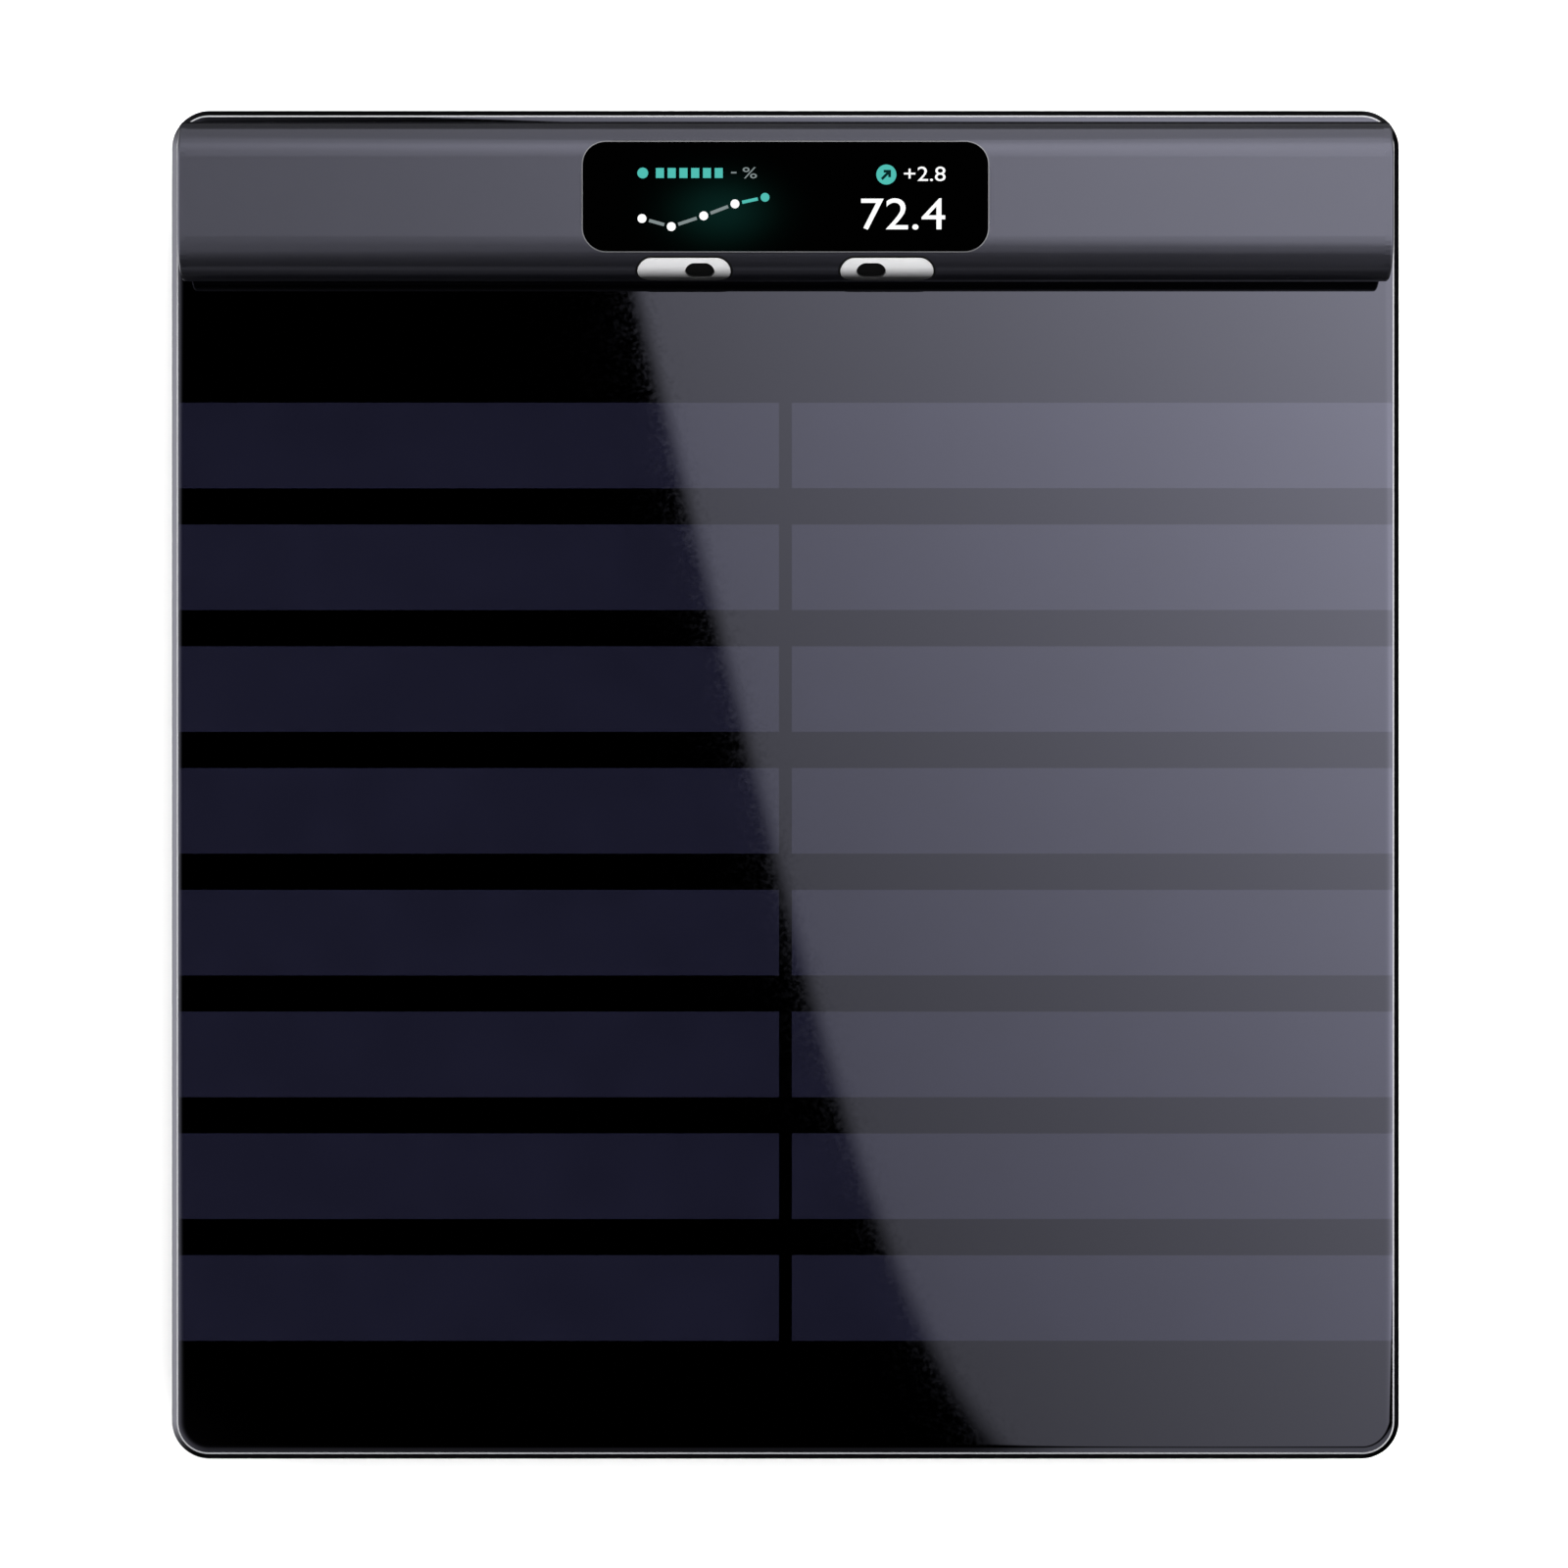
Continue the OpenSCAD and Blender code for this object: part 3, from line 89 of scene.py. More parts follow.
def grid_faces(rows, columns, close_rows=False, close_columns=False):
    """Quads of a grid of rows x columns points; a closed direction joins its last line to its
    first."""
    r = np.arange(rows if close_rows else rows - 1)
    c = np.arange(columns if close_columns else columns - 1)
    r, c = (a.ravel() for a in np.meshgrid(r, c, indexing="ij"))
    r2, c2 = (r + 1) % rows, (c + 1) % columns
    corners = [r * columns + c, r * columns + c2, r2 * columns + c2, r2 * columns + c]
    return np.stack(corners, axis=1)


def outward(points, faces):
    """Faces of a closed mesh turned outward: the signed volume, a sixth of the sum of
    a . (b x c) over the fans of every face, is positive when they already are."""
    p = np.asarray(points, float)
    volume = sum(np.dot(p[f[0]], np.cross(p[f[i]], p[f[i + 1]]))
                 for f in faces for i in range(1, len(f) - 1))
    return faces if volume > 0 else [f[::-1] for f in faces]


def add_piece(name, points, faces, finish, body, sharp=40):
    """Puts points and faces into a mesh with smooth shading, with edges sharp past an angle in
    degrees, and rides it on a body. Faces turned round by outward() keep their order, so second
    finishes can be given by face number."""
    mesh = bpy.data.meshes.new(name)
    faces = outward(points, [list(map(int, f)) for f in faces])
    mesh.from_pydata(np.asarray(points, float).tolist(), [], faces)
    mesh.polygons.foreach_set("use_smooth", np.ones(len(mesh.polygons), bool))
    mesh.set_sharp_from_angle(angle=math.radians(sharp))
    mesh.update()
    piece = bpy.data.objects.new(name, mesh)
    bpy.context.scene.collection.objects.link(piece)
    mesh.materials.append(finish)
    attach(piece, body)
    return piece


def round_rect_loop(half_w, half_d, r, arc_steps, side_steps):
    """Closed loop round a rectangle with round corners: each corner is a quarter circle of radius
    r about its centre at half size minus r, and the straight sides join them."""
    quarter = np.linspace(0, math.pi / 2, arc_steps + 1)
    corners = []
    for i, (sx, sy) in enumerate([(1, 1), (-1, 1), (-1, -1), (1, -1)]):
        turn = quarter + i * math.pi / 2
        x = sx * (half_w - r) + r * np.cos(turn)
        y = sy * (half_d - r) + r * np.sin(turn)
        corners.append(np.stack([x, y], 1))
    share = np.linspace(0, 1, side_steps + 1)[1:-1, None]
    loop = []
    for a, b in zip(corners, corners[1:] + corners[:1]):
        loop += [a, a[-1] * (1 - share) + b[0] * share]
    return np.concatenate(loop)


# ---- Shader nodes ----

# Nearly all of a noise's values lie between these two
NOISE_LOW, NOISE_HIGH = 0.3, 0.7
NO_STRETCH = (1, 1, 1)


def new_finish(name, colour, roughness, metallic=0.0, ior=1.5, tint=(1, 1, 1), coat=0.0):
    """A Principled material with its plain values on the shader's own sockets."""
    material = bpy.data.materials.new(name)
    material.use_nodes = True
    shader = material.node_tree.nodes["Principled BSDF"]
    shader.inputs["Base Color"].default_value = (*colour, 1)
    shader.inputs["Roughness"].default_value = roughness
    shader.inputs["Metallic"].default_value = metallic
    shader.inputs["IOR"].default_value = ior
    shader.inputs["Specular Tint"].default_value = (*tint, 1)
    shader.inputs["Coat Weight"].default_value = coat
    return material, material.node_tree, shader


def shaded(colour, share):
    """A colour made darker or lighter."""
    return [c * share for c in colour]


def object_place(tree, stretch=NO_STRETCH):
    """Object coordinates, stretched."""
    place = tree.nodes.new("ShaderNodeTexCoord")
    mapping = tree.nodes.new("ShaderNodeMapping")
    mapping.inputs["Scale"].default_value = stretch
    tree.links.new(place.outputs["Object"], mapping.inputs["Vector"])
    return mapping.outputs["Vector"]


def object_axes(tree):
    """Object coordinates, one output for each axis."""
    place = tree.nodes.new("ShaderNodeTexCoord")
    split = tree.nodes.new("ShaderNodeSeparateXYZ")
    tree.links.new(place.outputs["Object"], split.inputs["Vector"])
    return split.outputs


def noise(tree, scale, detail=3.0, stretch=NO_STRETCH):
    """Value noise from 0 to 1 on Object coordinates; scale is in waves a metre."""
    node = tree.nodes.new("ShaderNodeTexNoise")
    node.inputs["Scale"].default_value = scale
    node.inputs["Detail"].default_value = detail
    tree.links.new(object_place(tree, stretch), node.inputs["Vector"])
    return node.outputs["Fac"]


def fine_lines(tree, scale, axis, distort=0.0):
    """Even lines across an axis: a sine wave from 0 to 1, scale waves a metre. The Wave node
    turns by 20 radians for each unit of its own scale."""
    node = tree.nodes.new("ShaderNodeTexWave")
    node.bands_direction = axis
    node.inputs["Scale"].default_value = scale * 2 * math.pi / 20
    node.inputs["Distortion"].default_value = distort
    tree.links.new(object_place(tree), node.inputs["Vector"])
    return node.outputs["Fac"]


def spread(tree, value, low, high, start=NOISE_LOW, end=NOISE_HIGH):
    """Maps a value's range from start to end onto low to high."""
    node = tree.nodes.new("ShaderNodeMapRange")
    node.inputs["From Min"].default_value = start
    node.inputs["From Max"].default_value = end
    node.inputs["To Min"].default_value = low
    node.inputs["To Max"].default_value = high
    tree.links.new(value, node.inputs["Value"])
    return node.outputs["Result"]


def math_node(tree, operation, a, b=None):
    """A Math node on one or two inputs, each a plain number or another node's output."""
    node = tree.nodes.new("ShaderNodeMath")
    node.operation = operation
    for socket, value in zip(node.inputs, (a, b)):
        if value is None:
            continue
        if isinstance(value, (int, float)):
            socket.default_value = value
        else:
            tree.links.new(value, socket)
    return node.outputs["Value"]


def vary_colour(tree, shader, value, dark, light):
    """Base colour runs from dark to light with a value."""
    ramp = tree.nodes.new("ShaderNodeValToRGB")
    stops = ramp.color_ramp.elements
    stops[0].position, stops[1].position = NOISE_LOW, NOISE_HIGH
    stops[0].color, stops[1].color = (*dark, 1), (*light, 1)
    tree.links.new(value, ramp.inputs["Fac"])
    tree.links.new(ramp.outputs["Color"], shader.inputs["Base Color"])


def vary_gloss(tree, shader, value, low, high):
    """Roughness runs from low to high with a value."""
    tree.links.new(spread(tree, value, low, high), shader.inputs["Roughness"])


def add_bump(tree, shader, value, depth):
    """Bump of a depth in metres from a value."""
    bump = tree.nodes.new("ShaderNodeBump")
    bump.inputs["Strength"].default_value = 1.0
    bump.inputs["Distance"].default_value = depth
    tree.links.new(value, bump.inputs["Height"])
    tree.links.new(bump.outputs["Normal"], shader.inputs["Normal"])


# ---- Finishes ----

# Pattern scales, in waves a metre: flow mottle and uneven gloss of moulded parts, their spark
# grain, ground glass, and brush lines on steel
MOTTLE, UNEVEN_GLOSS, SPARK_GRAIN = 60, 900, 4500
GROUND_GRAIN = 2500
BRUSH_LINES = 200

# Tint of black surfaces' reflections
BLUE_BLACK = (0.8, 0.8, 1.0)
# Roughness range of the electrodes' steel, and the heights over which the thumb electrodes'
# colour runs from painted shade below to full brightness above
STEEL_GLOSS = (0.34, 0.42)
STEEL_PAINTED_SHADE_Z, STEEL_PAINTED_SHADE_END_Z = HANDLE_Z + 3.1 * MM, HANDLE_Z + 6.1 * MM

# The glow behind the readout, from the handle's middle
GLOW_X, GLOW_Y = -16.6 * MM, -3.8 * MM
GLOW_W, GLOW_H = 11.5 * MM, 7.5 * MM
GLOW_COLOUR = (0.1, 0.75, 0.6)
GLOW_POWER = 0.02


def moulded_plastic(name, colour, roughness, grain=0.01 * MM, tint=(1, 1, 1), ior=1.5):
    """Moulded plastic: fine spark grain, faint flow mottle and slightly uneven gloss."""
    material, tree, shader = new_finish(name, colour, roughness, ior=ior, tint=tint)
    vary_colour(tree, shader, noise(tree, MOTTLE), shaded(colour, 0.92), shaded(colour, 1.08))
    uneven = noise(tree, UNEVEN_GLOSS, detail=2)
    vary_gloss(tree, shader, uneven, roughness - 0.02, roughness + 0.02)
    add_bump(tree, shader, noise(tree, SPARK_GRAIN, detail=2), grain)
    return material


def dull_black(name, colour, roughness, gloss):
    """Dark matt plastic or rubber with little gloss of its own."""
    material = moulded_plastic(name, colour, roughness, 0.005 * MM)
    shader = material.node_tree.nodes["Principled BSDF"]
    shader.inputs["Specular IOR Level"].default_value = gloss
    return material


def brushed_metal(name, colour, roughness, stretch=(1, 40, 40)):
    """Metal with brush lines along the axis that isn't stretched."""
    material, tree, shader = new_finish(name, colour, roughness, metallic=1.0)
    lines = noise(tree, 120, detail=4, stretch=stretch)
    vary_colour(tree, shader, lines, shaded(colour, 0.93), colour)
    vary_gloss(tree, shader, lines, roughness - 0.05, roughness + 0.05)
    add_bump(tree, shader, lines, 0.004 * MM)
    return material


def solder_mask():
    """Green board lacquer over etched copper: tracks show as paler lines in both directions,
    broken up by noise."""
    material, tree, shader = new_finish("circuit_board", (0.004, 0.05, 0.02), 0.3, coat=0.3)
    track_lines, wobble, cut = 400, 0.3, 0.8
    x_tracks, y_tracks = (
        math_node(tree, "GREATER_THAN", fine_lines(tree, track_lines, axis, wobble), cut)
        for axis in ("X", "Y"))
    tracks = math_node(tree, "MAXIMUM", x_tracks, y_tracks)
    patches = math_node(tree, "GREATER_THAN", noise(tree, 120, detail=1), 0.5)
    copper = math_node(tree, "MULTIPLY", tracks, patches)
    shade = math_node(tree, "ADD", spread(tree, copper, 0.35, 0.65, 0, 1),
                      spread(tree, noise(tree, 30), -0.05, 0.05))
    vary_colour(tree, shader, shade, (0.003, 0.04, 0.016), (0.012, 0.11, 0.04))
    add_bump(tree, shader, copper, 0.02 * MM)
    return material


def foil_grid():
    """Constantan foil: the gauge's narrow grid of lines on an amber carrier film."""
    material, tree, shader = new_finish("gauge_foil", (0.75, 0.5, 0.25), 0.35, metallic=0.8)
    lines = fine_lines(tree, 2500, "X")
    vary_colour(tree, shader, lines, (0.35, 0.17, 0.04), (0.8, 0.6, 0.35))
    vary_gloss(tree, shader, noise(tree, 500), 0.28, 0.4)
    add_bump(tree, shader, lines, 0.005 * MM)
    return material


def shrink_wrap():
    """Heat-shrunk battery sleeve: glossy PVC, drawn into long, shallow wrinkles along the
    cells."""
    colour = (0.02, 0.06, 0.2)
    material, tree, shader = new_finish("battery_wrap", colour, 0.22, coat=0.2)
    wrinkles = noise(tree, 90, detail=3, stretch=(0.25, 1, 1))
    vary_colour(tree, shader, wrinkles, shaded(colour, 0.8), shaded(colour, 1.2))
    vary_gloss(tree, shader, noise(tree, 700, detail=2), 0.2, 0.28)
    add_bump(tree, shader, wrinkles, 0.06 * MM)
    return material


def grip_rubber(name, colour):
    """Soft moulded rubber: matt, with a leathery grain and a dusty bloom in patches."""
    material, tree, shader = new_finish(name, colour, 0.85)
    cells = tree.nodes.new("ShaderNodeTexVoronoi")
    cells.inputs["Scale"].default_value = 1400
    tree.links.new(object_place(tree), cells.inputs["Vector"])
    bloom = noise(tree, 140, detail=4)
    vary_colour(tree, shader, bloom, colour, [c * 1.5 + 0.01 for c in colour])
    vary_gloss(tree, shader, bloom, 0.78, 0.92)
    add_bump(tree, shader, cells.outputs["Distance"], 0.05 * MM)
    return material


def spring_strip():
    """Blued spring steel: rolled lines along the strip and a straw to blue temper colour."""
    material, tree, shader = new_finish("spring_steel", (0.45, 0.46, 0.5), 0.25, metallic=1.0)
    vary_colour(tree, shader, noise(tree, 25, detail=2), (0.2, 0.24, 0.38), (0.5, 0.46, 0.4))
    lines = noise(tree, 150, detail=4, stretch=(1, 1, 40))
    vary_gloss(tree, shader, lines, 0.2, 0.32)
    add_bump(tree, shader, lines, 0.003 * MM)
    return material


def ground_glass_painted_highlight():
    """The facet's finish: finely ground glass, greyish white and matt, with a fine grain. Its
    pale grey also paints the edge's highlight line.
    """
    material, tree, shader = new_finish("ground_edge_painted_highlight", (0.22, 0.22, 0.23), 0.4)
    vary_colour(tree, shader, noise(tree, GROUND_GRAIN), (0.2, 0.2, 0.21), (0.24, 0.24, 0.25))
    return material


def satin_bar():
    """The handle's satin coat: its gloss spreads further along the bar than across it. The
    direction leans up a little, so that it also holds on the end faces, which stand square to
    the bar."""
    colour = (0.003, 0.003, 0.004)
    material, tree, shader = new_finish("handle_satin", colour, 0.3, tint=BLUE_BLACK)
    shader.inputs["Specular IOR Level"].default_value = 0.6
    vary_colour(tree, shader, noise(tree, MOTTLE), shaded(colour, 0.9), shaded(colour, 1.1))
    vary_gloss(tree, shader, noise(tree, UNEVEN_GLOSS, detail=2), 0.29, 0.31)
    shader.inputs["Anisotropic"].default_value = 0.75
    along = tree.nodes.new("ShaderNodeCombineXYZ")
    along.inputs["X"].default_value = 1
    along.inputs["Z"].default_value = 0.03
    tree.links.new(along.outputs["Vector"], shader.inputs["Tangent"])
    return material


def blasted_steel(name, colour):
    """Finely blasted steel with faint brush lines along the bar."""
    material, tree, shader = new_finish(name, colour, 0.38, metallic=0.7)
    lines = noise(tree, BRUSH_LINES, detail=4, stretch=(1, 30, 30))
    vary_colour(tree, shader, lines, shaded(colour, 0.9), colour)
    vary_gloss(tree, shader, lines, *STEEL_GLOSS)
    add_bump(tree, shader, noise(tree, 5000, detail=2), 0.003 * MM)
    return material


def thumb_steel_painted_shade():
    """The thumb electrodes' steel: bright on top, with painted shade on its lower side, which
    faces the black glass."""
    colour = (0.72, 0.72, 0.73)
    material, tree, shader = new_finish("thumb_steel_painted_shade", colour, 0.38, metallic=0.5)
    lines = noise(tree, BRUSH_LINES, detail=4, stretch=(1, 30, 30))
    # Painted shade: the colour darkens from the top down to the lower side, by height
    shade = spread(tree, object_axes(tree)["Z"], NOISE_LOW, NOISE_HIGH,
                   STEEL_PAINTED_SHADE_Z, STEEL_PAINTED_SHADE_END_Z)
    uneven = math_node(tree, "ADD", shade, spread(tree, lines, -0.02, 0.02))
    vary_colour(tree, shader, uneven, shaded(colour, 0.05), colour)
    vary_gloss(tree, shader, lines, *STEEL_GLOSS)
    return material


def vector_node(tree, operation, a, b):
    """A Vector Math node on two inputs; the second is a plain vector or another output."""
    node = tree.nodes.new("ShaderNodeVectorMath")
    node.operation = operation
    tree.links.new(a, node.inputs[0])
    if isinstance(b, tuple):
        node.inputs[1].default_value = b
    else:
        tree.links.new(b, node.inputs[1])
    return node.outputs


def lens_face():
    """The lens's anti-reflective face: black, and lit from below by a teal glow, exp(-r^2),
    round the trend line, with r in glow half sizes."""
    material, tree, shader = new_finish("lens_face", (0.0001, 0.0001, 0.0001), 0.2)
    shader.inputs["Specular IOR Level"].default_value = 0.0
    place = tree.nodes.new("ShaderNodeTexCoord").outputs["Object"]
    offset = vector_node(tree, "SUBTRACT", place, (GLOW_X, HANDLE_Y + GLOW_Y, 0))["Vector"]
    flat = vector_node(tree, "MULTIPLY", offset, (1 / GLOW_W, 1 / GLOW_H, 0))["Vector"]
    square = vector_node(tree, "DOT_PRODUCT", flat, flat)["Value"]
    fall = math_node(tree, "EXPONENT", math_node(tree, "MULTIPLY", square, -1.0))
    shader.inputs["Emission Color"].default_value = (*GLOW_COLOUR, 1)
    tree.links.new(math_node(tree, "MULTIPLY", fall, GLOW_POWER),
                   shader.inputs["Emission Strength"])
    return material


def lens_rim():
    """The lens's ground rim: a matt grey line round the black face; the grey also paints the
    rim's highlight line.
    """
    colour = (0.06, 0.06, 0.065)
    material, tree, shader = new_finish("lens_rim", colour, 0.4)
    vary_colour(tree, shader, noise(tree, GROUND_GRAIN), shaded(colour, 0.9), shaded(colour, 1.1))
    return material


def lit_ink(name, colour):
    """A lit part of the readout: its own light, a little uneven, as a fine grid of lamps is."""
    material, tree, shader = new_finish(name, shaded(colour, 0.05), 0.5)
    shader.inputs["Specular IOR Level"].default_value = 0.0
    shader.inputs["Emission Color"].default_value = (*colour, 1)
    tree.links.new(spread(tree, noise(tree, 8000, detail=1), 0.97, 1.03),
                   shader.inputs["Emission Strength"])
    return material


FINISHES = {
    "glass_black": moulded_plastic("black_glass", (0, 0, 0), 0.03, grain=0, tint=BLUE_BLACK),
    "electrode_film": moulded_plastic("electrode_film", (0.0044, 0.0044, 0.0098), 0.03, grain=0,
                                      tint=BLUE_BLACK, ior=1.56),
    "tape": moulded_plastic("bonding_tape", (0.02, 0.02, 0.02), 0.7),
    "base_plastic": moulded_plastic("base_plastic", (0.02, 0.02, 0.022), 0.5, grain=0.03 * MM),
    "screw_steel": brushed_metal("screw_steel", (0.5, 0.5, 0.52), 0.3, stretch=NO_STRETCH),
    "cell_steel": brushed_metal("cell_steel", (0.6, 0.6, 0.62), 0.3),
    "gauge_foil": foil_grid(),
    "cup_plastic": moulded_plastic("cup_plastic", (0.02, 0.02, 0.022), 0.45),
    "foot_rubber": grip_rubber("foot_rubber", (0.025, 0.025, 0.026)),
    "battery_wrap": shrink_wrap(),
    "circuit_board": solder_mask(),
    "chip": moulded_plastic("chip_black", (0.02, 0.02, 0.022), 0.5),
    "socket_steel": brushed_metal("socket_steel", (0.6, 0.6, 0.62), 0.25),
    "reel_plastic": moulded_plastic("reel_plastic", (0.08, 0.08, 0.09), 0.45),
    "drum_plastic": moulded_plastic("drum_plastic", (0.6, 0.6, 0.57), 0.4),
    "spring_steel": spring_strip(),
    "trim_plastic": moulded_plastic("trim_plastic", (0.01, 0.01, 0.011), 0.35),
    "magnet": brushed_metal("magnet_nickel", (0.65, 0.65, 0.66), 0.2, stretch=NO_STRETCH),
    "handle_plastic": satin_bar(),
    "lens_black": moulded_plastic("lens_rim_black", (0, 0, 0), 0.15, grain=0, ior=2.2),
    "screen": moulded_plastic("display_panel", (0.02, 0.025, 0.03), 0.2),
    "electrode_steel": blasted_steel("electrode_steel", (0.62, 0.62, 0.63)),
    "gasket_rubber": dull_black("gasket_rubber", (0.003, 0.003, 0.003), 0.6, gloss=0.1),
    "button_plastic": dull_black("button_plastic", (0.002, 0.002, 0.002), 0.4, gloss=0.06),
    "pad_silicone": grip_rubber("pad_silicone", (0.05, 0.05, 0.052)),
}

# Every CAD node gets its slot's finish, and the thumb electrodes then the steel with painted
# shade
for item in frame["record"]["subparts"]:
    mesh = NODES[item["node"]].data
    mesh.materials.clear()
    mesh.materials.append(FINISHES[item["material_slot"]])
painted_shade_steel = thumb_steel_painted_shade()
for side in ("left", "right"):
    NODES["thumb_electrode_" + side].data.materials[0] = painted_shade_steel


# ---- Glass plate ----

def glass_edge():
    """Upper edge profile as (inset from the side, height): over the roll-off the slope grows
    with the square of the way, z = top - w tan(tilt) t^3 / 3, and the facet and the chamfer go
    down straight."""
    t = np.linspace(0, 1, 9)
    whole = EDGE_ROLL_W + EDGE_FACET_W + EDGE_CHAMFER_W
    drop = EDGE_ROLL_W * math.tan(math.radians(EDGE_ROLL_TILT)) / 3
    edge = list(zip(whole - EDGE_ROLL_W * t, GLASS_TOP - drop * t ** 3))
    for width, tilt in ((EDGE_FACET_W, EDGE_FACET_TILT), (EDGE_CHAMFER_W, EDGE_CHAMFER_TILT)):
        inset, z = edge[-1]
        edge.append((inset - width, z - width * math.tan(math.radians(tilt))))
    return edge


def glass_plate():
    """Closed plate: loops run from the port hole over the top, down the upper edge and the side,
    round the lower edge, which is a quarter circle, under the plate and back up the hole. The
    facet's band of faces has the ground finish, whose pale grey also paints a highlight line."""
    half_w, half_d = glass_hi[0], glass_hi[1]
    upper = glass_edge()
    lower = [(LOWER_EDGE_R * (1 - math.sin(t)), glass_lo[2] + LOWER_EDGE_R * (1 - math.cos(t)))
             for t in np.linspace(math.pi / 2, 0, 8)]
    rings = [(upper[0][0] + GUARD_W, GLASS_TOP)] + upper + lower
    rings.append((LOWER_EDGE_R + GUARD_W, glass_lo[2]))
    loops = []
    for inset, z in rings:
        loop = round_rect_loop(half_w - inset, half_d - inset, GLASS_CORNER_R - inset,
                               arc_steps=16, side_steps=12)
        loops.append(np.column_stack([loop, np.full(len(loop), z)]))
    to_port = loops[0][:, :2] - [0, PORT_Y]
    hole = PORT_R * to_port / np.linalg.norm(to_port, axis=1)[:, None] + [0, PORT_Y]
    for z in (glass_lo[2], GLASS_TOP):
        loops.append(np.column_stack([hole, np.full(len(hole), z)]))
    count = len(hole)
    faces = grid_faces(len(loops), count, close_rows=True, close_columns=True)
    plate = add_piece("glass_plate", np.concatenate(loops), faces, FINISHES["glass_black"],
                      "platform", sharp=6)
    plate.data.materials.append(ground_glass_painted_highlight())
    # The facet starts at the last loop of the roll-off
    facet = len(upper) - 2
    band_of = np.arange(len(faces)) // count
    plate.data.polygons.foreach_set("material_index", (band_of == facet).astype(np.int32))
    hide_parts("glass_platform")


def film_strips():
    """The conductive strips: thin closed sheets that lie on the glass, from the middle gap out
    over the roll-off to the ground facet. Each is a grid of the edge profile's points along x
    and of its two ends along y, raised by the film's thickness for the upper side."""
    cad = np.array([v.co for v in NODES["foot_electrode_films"].data.vertices])
    ends = np.unique(np.round(cad[:, 1], 6)).reshape(-1, 2)
    inner, thick = np.abs(cad[:, 0]).min(), cad[:, 2].max() - GLASS_TOP
    edge = glass_edge()[:-2]
    x = np.array([inner] + [glass_hi[0] - inset for inset, z in edge])
    z = np.array([GLASS_TOP] + [z for inset, z in edge])
    upper, under = np.column_stack([x, z + thick]), np.column_stack([x, z])
    section = np.concatenate([upper, under[::-1]])
    count = len(section)
    points, faces = [], []
    for side in (-1, 1):
        for start, end in ends:
            first = len(points)
            for y in (start, end):
                points += [(side * px, y, pz) for px, pz in section]
            strip = (grid_faces(2, count, close_columns=True) + first).tolist()
            strip.append([first + i for i in range(count)][::-1])
            strip.append([first + count + i for i in range(count)])
            faces += strip if side > 0 else [f[::-1] for f in strip]
    strips = add_piece("film_strips", points, faces, FINISHES["electrode_film"], "platform",
                       sharp=12)
    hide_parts("foot_electrode_films")


glass_plate()
film_strips()


# ---- Display ----

# Corner radii of the lens: its body in the pocket, and the lip on top, whose corners are tighter
LENS_BODY_R = 8.6 * MM
LENS_LIP_R = 6.3 * MM
# Depths under the shell's surface: the lens's underside, its lip, which is above the shell, the
# lip's crest, and the face inside it
LENS_UNDER, LENS_LIP, LENS_CREST, LENS_FACE = 1.1 * MM, -0.004 * MM, -0.02 * MM, 0.04 * MM
LENS_RIM_W = 0.28 * MM

# The readout's plates stand just clear of the lens's face
READOUT_Z = HANDLE_Z + HANDLE_T / 2 - LENS_FACE + 0.005 * MM
READOUT_T = 0.02 * MM


def crown_z(y, depth=0.0):
    """Height of the handle's upper surface at y from its middle, less a depth: flat for
    |y| <= f, then the crown arc, z = h - R + sqrt((R - depth)^2 - (|y| - f)^2), with h half the
    thickness."""
    past = np.maximum(np.abs(y) - FLAT_HALF, 0)
    top = HANDLE_Z + HANDLE_T / 2
    return top - CROWN_R + np.sqrt((CROWN_R - depth) ** 2 - past ** 2)


def lens():
    """Closed lens: loops of its outline run under the body and up its wall, out over a thin lip
    that closes the pocket's corners, up the lip's ground rim, whose grey also paints a highlight
    line, and in over the crowned face to the flat, where one face closes it. The lip stands a few
    hundredths of a millimetre proud of the shell, and the face inside it lies a little below."""
    lo, hi = (np.array(c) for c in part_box("display_lens"))
    half_w, half_d = (hi[0] - lo[0]) / 2, (hi[1] - lo[1]) / 2
    # Rings of (inset, depth, corner radius)
    body = [(inset * MM, LENS_UNDER, LENS_BODY_R) for inset in (6, 3, 0)]
    body.append((0, LENS_LIP, LENS_BODY_R))
    lip = [(0, LENS_LIP, LENS_LIP_R), (0, 2 * LENS_LIP, LENS_LIP_R)]
    face = [(LENS_RIM_W, LENS_CREST, LENS_LIP_R)]
    face += [(inset * MM, LENS_CREST, LENS_LIP_R) for inset in (0.8, 1.4)]
    face += [(inset * MM, LENS_FACE, LENS_LIP_R) for inset in (2.6, 3.8)]
    loops = []
    for inset, depth, corner_r in body + lip + face:
        loop = round_rect_loop(half_w - inset, half_d - inset, corner_r - inset,
                               arc_steps=12, side_steps=12)
        x, y = loop[:, 0], loop[:, 1]
        loops.append(np.column_stack([x, y + HANDLE_Y, crown_z(y, depth)]))
    count = len(loops[0])
    faces = grid_faces(len(loops), count, close_columns=True).tolist()
    faces.append([(len(loops) - 1) * count + i for i in range(count)])
    faces.append(list(range(count))[::-1])
    piece = add_piece("display_lens_face", np.concatenate(loops), faces, FINISHES["lens_black"],
                      "handle", sharp=50)
    piece.data.materials.append(lens_face())
    piece.data.materials.append(lens_rim())
    # Finishes by number: 0 body and lip, 1 face, 2 the rim between them; the last face of all is
    # the underside
    rim_band = len(body + lip) - 1
    band_of = np.arange(len(faces)) // count
    finish_of = np.where(band_of > rim_band, 1, np.where(band_of == rim_band, 2, 0))
    finish_of[-1] = 0
    piece.data.polygons.foreach_set("material_index", finish_of.astype(np.int32))
    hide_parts("display_lens")


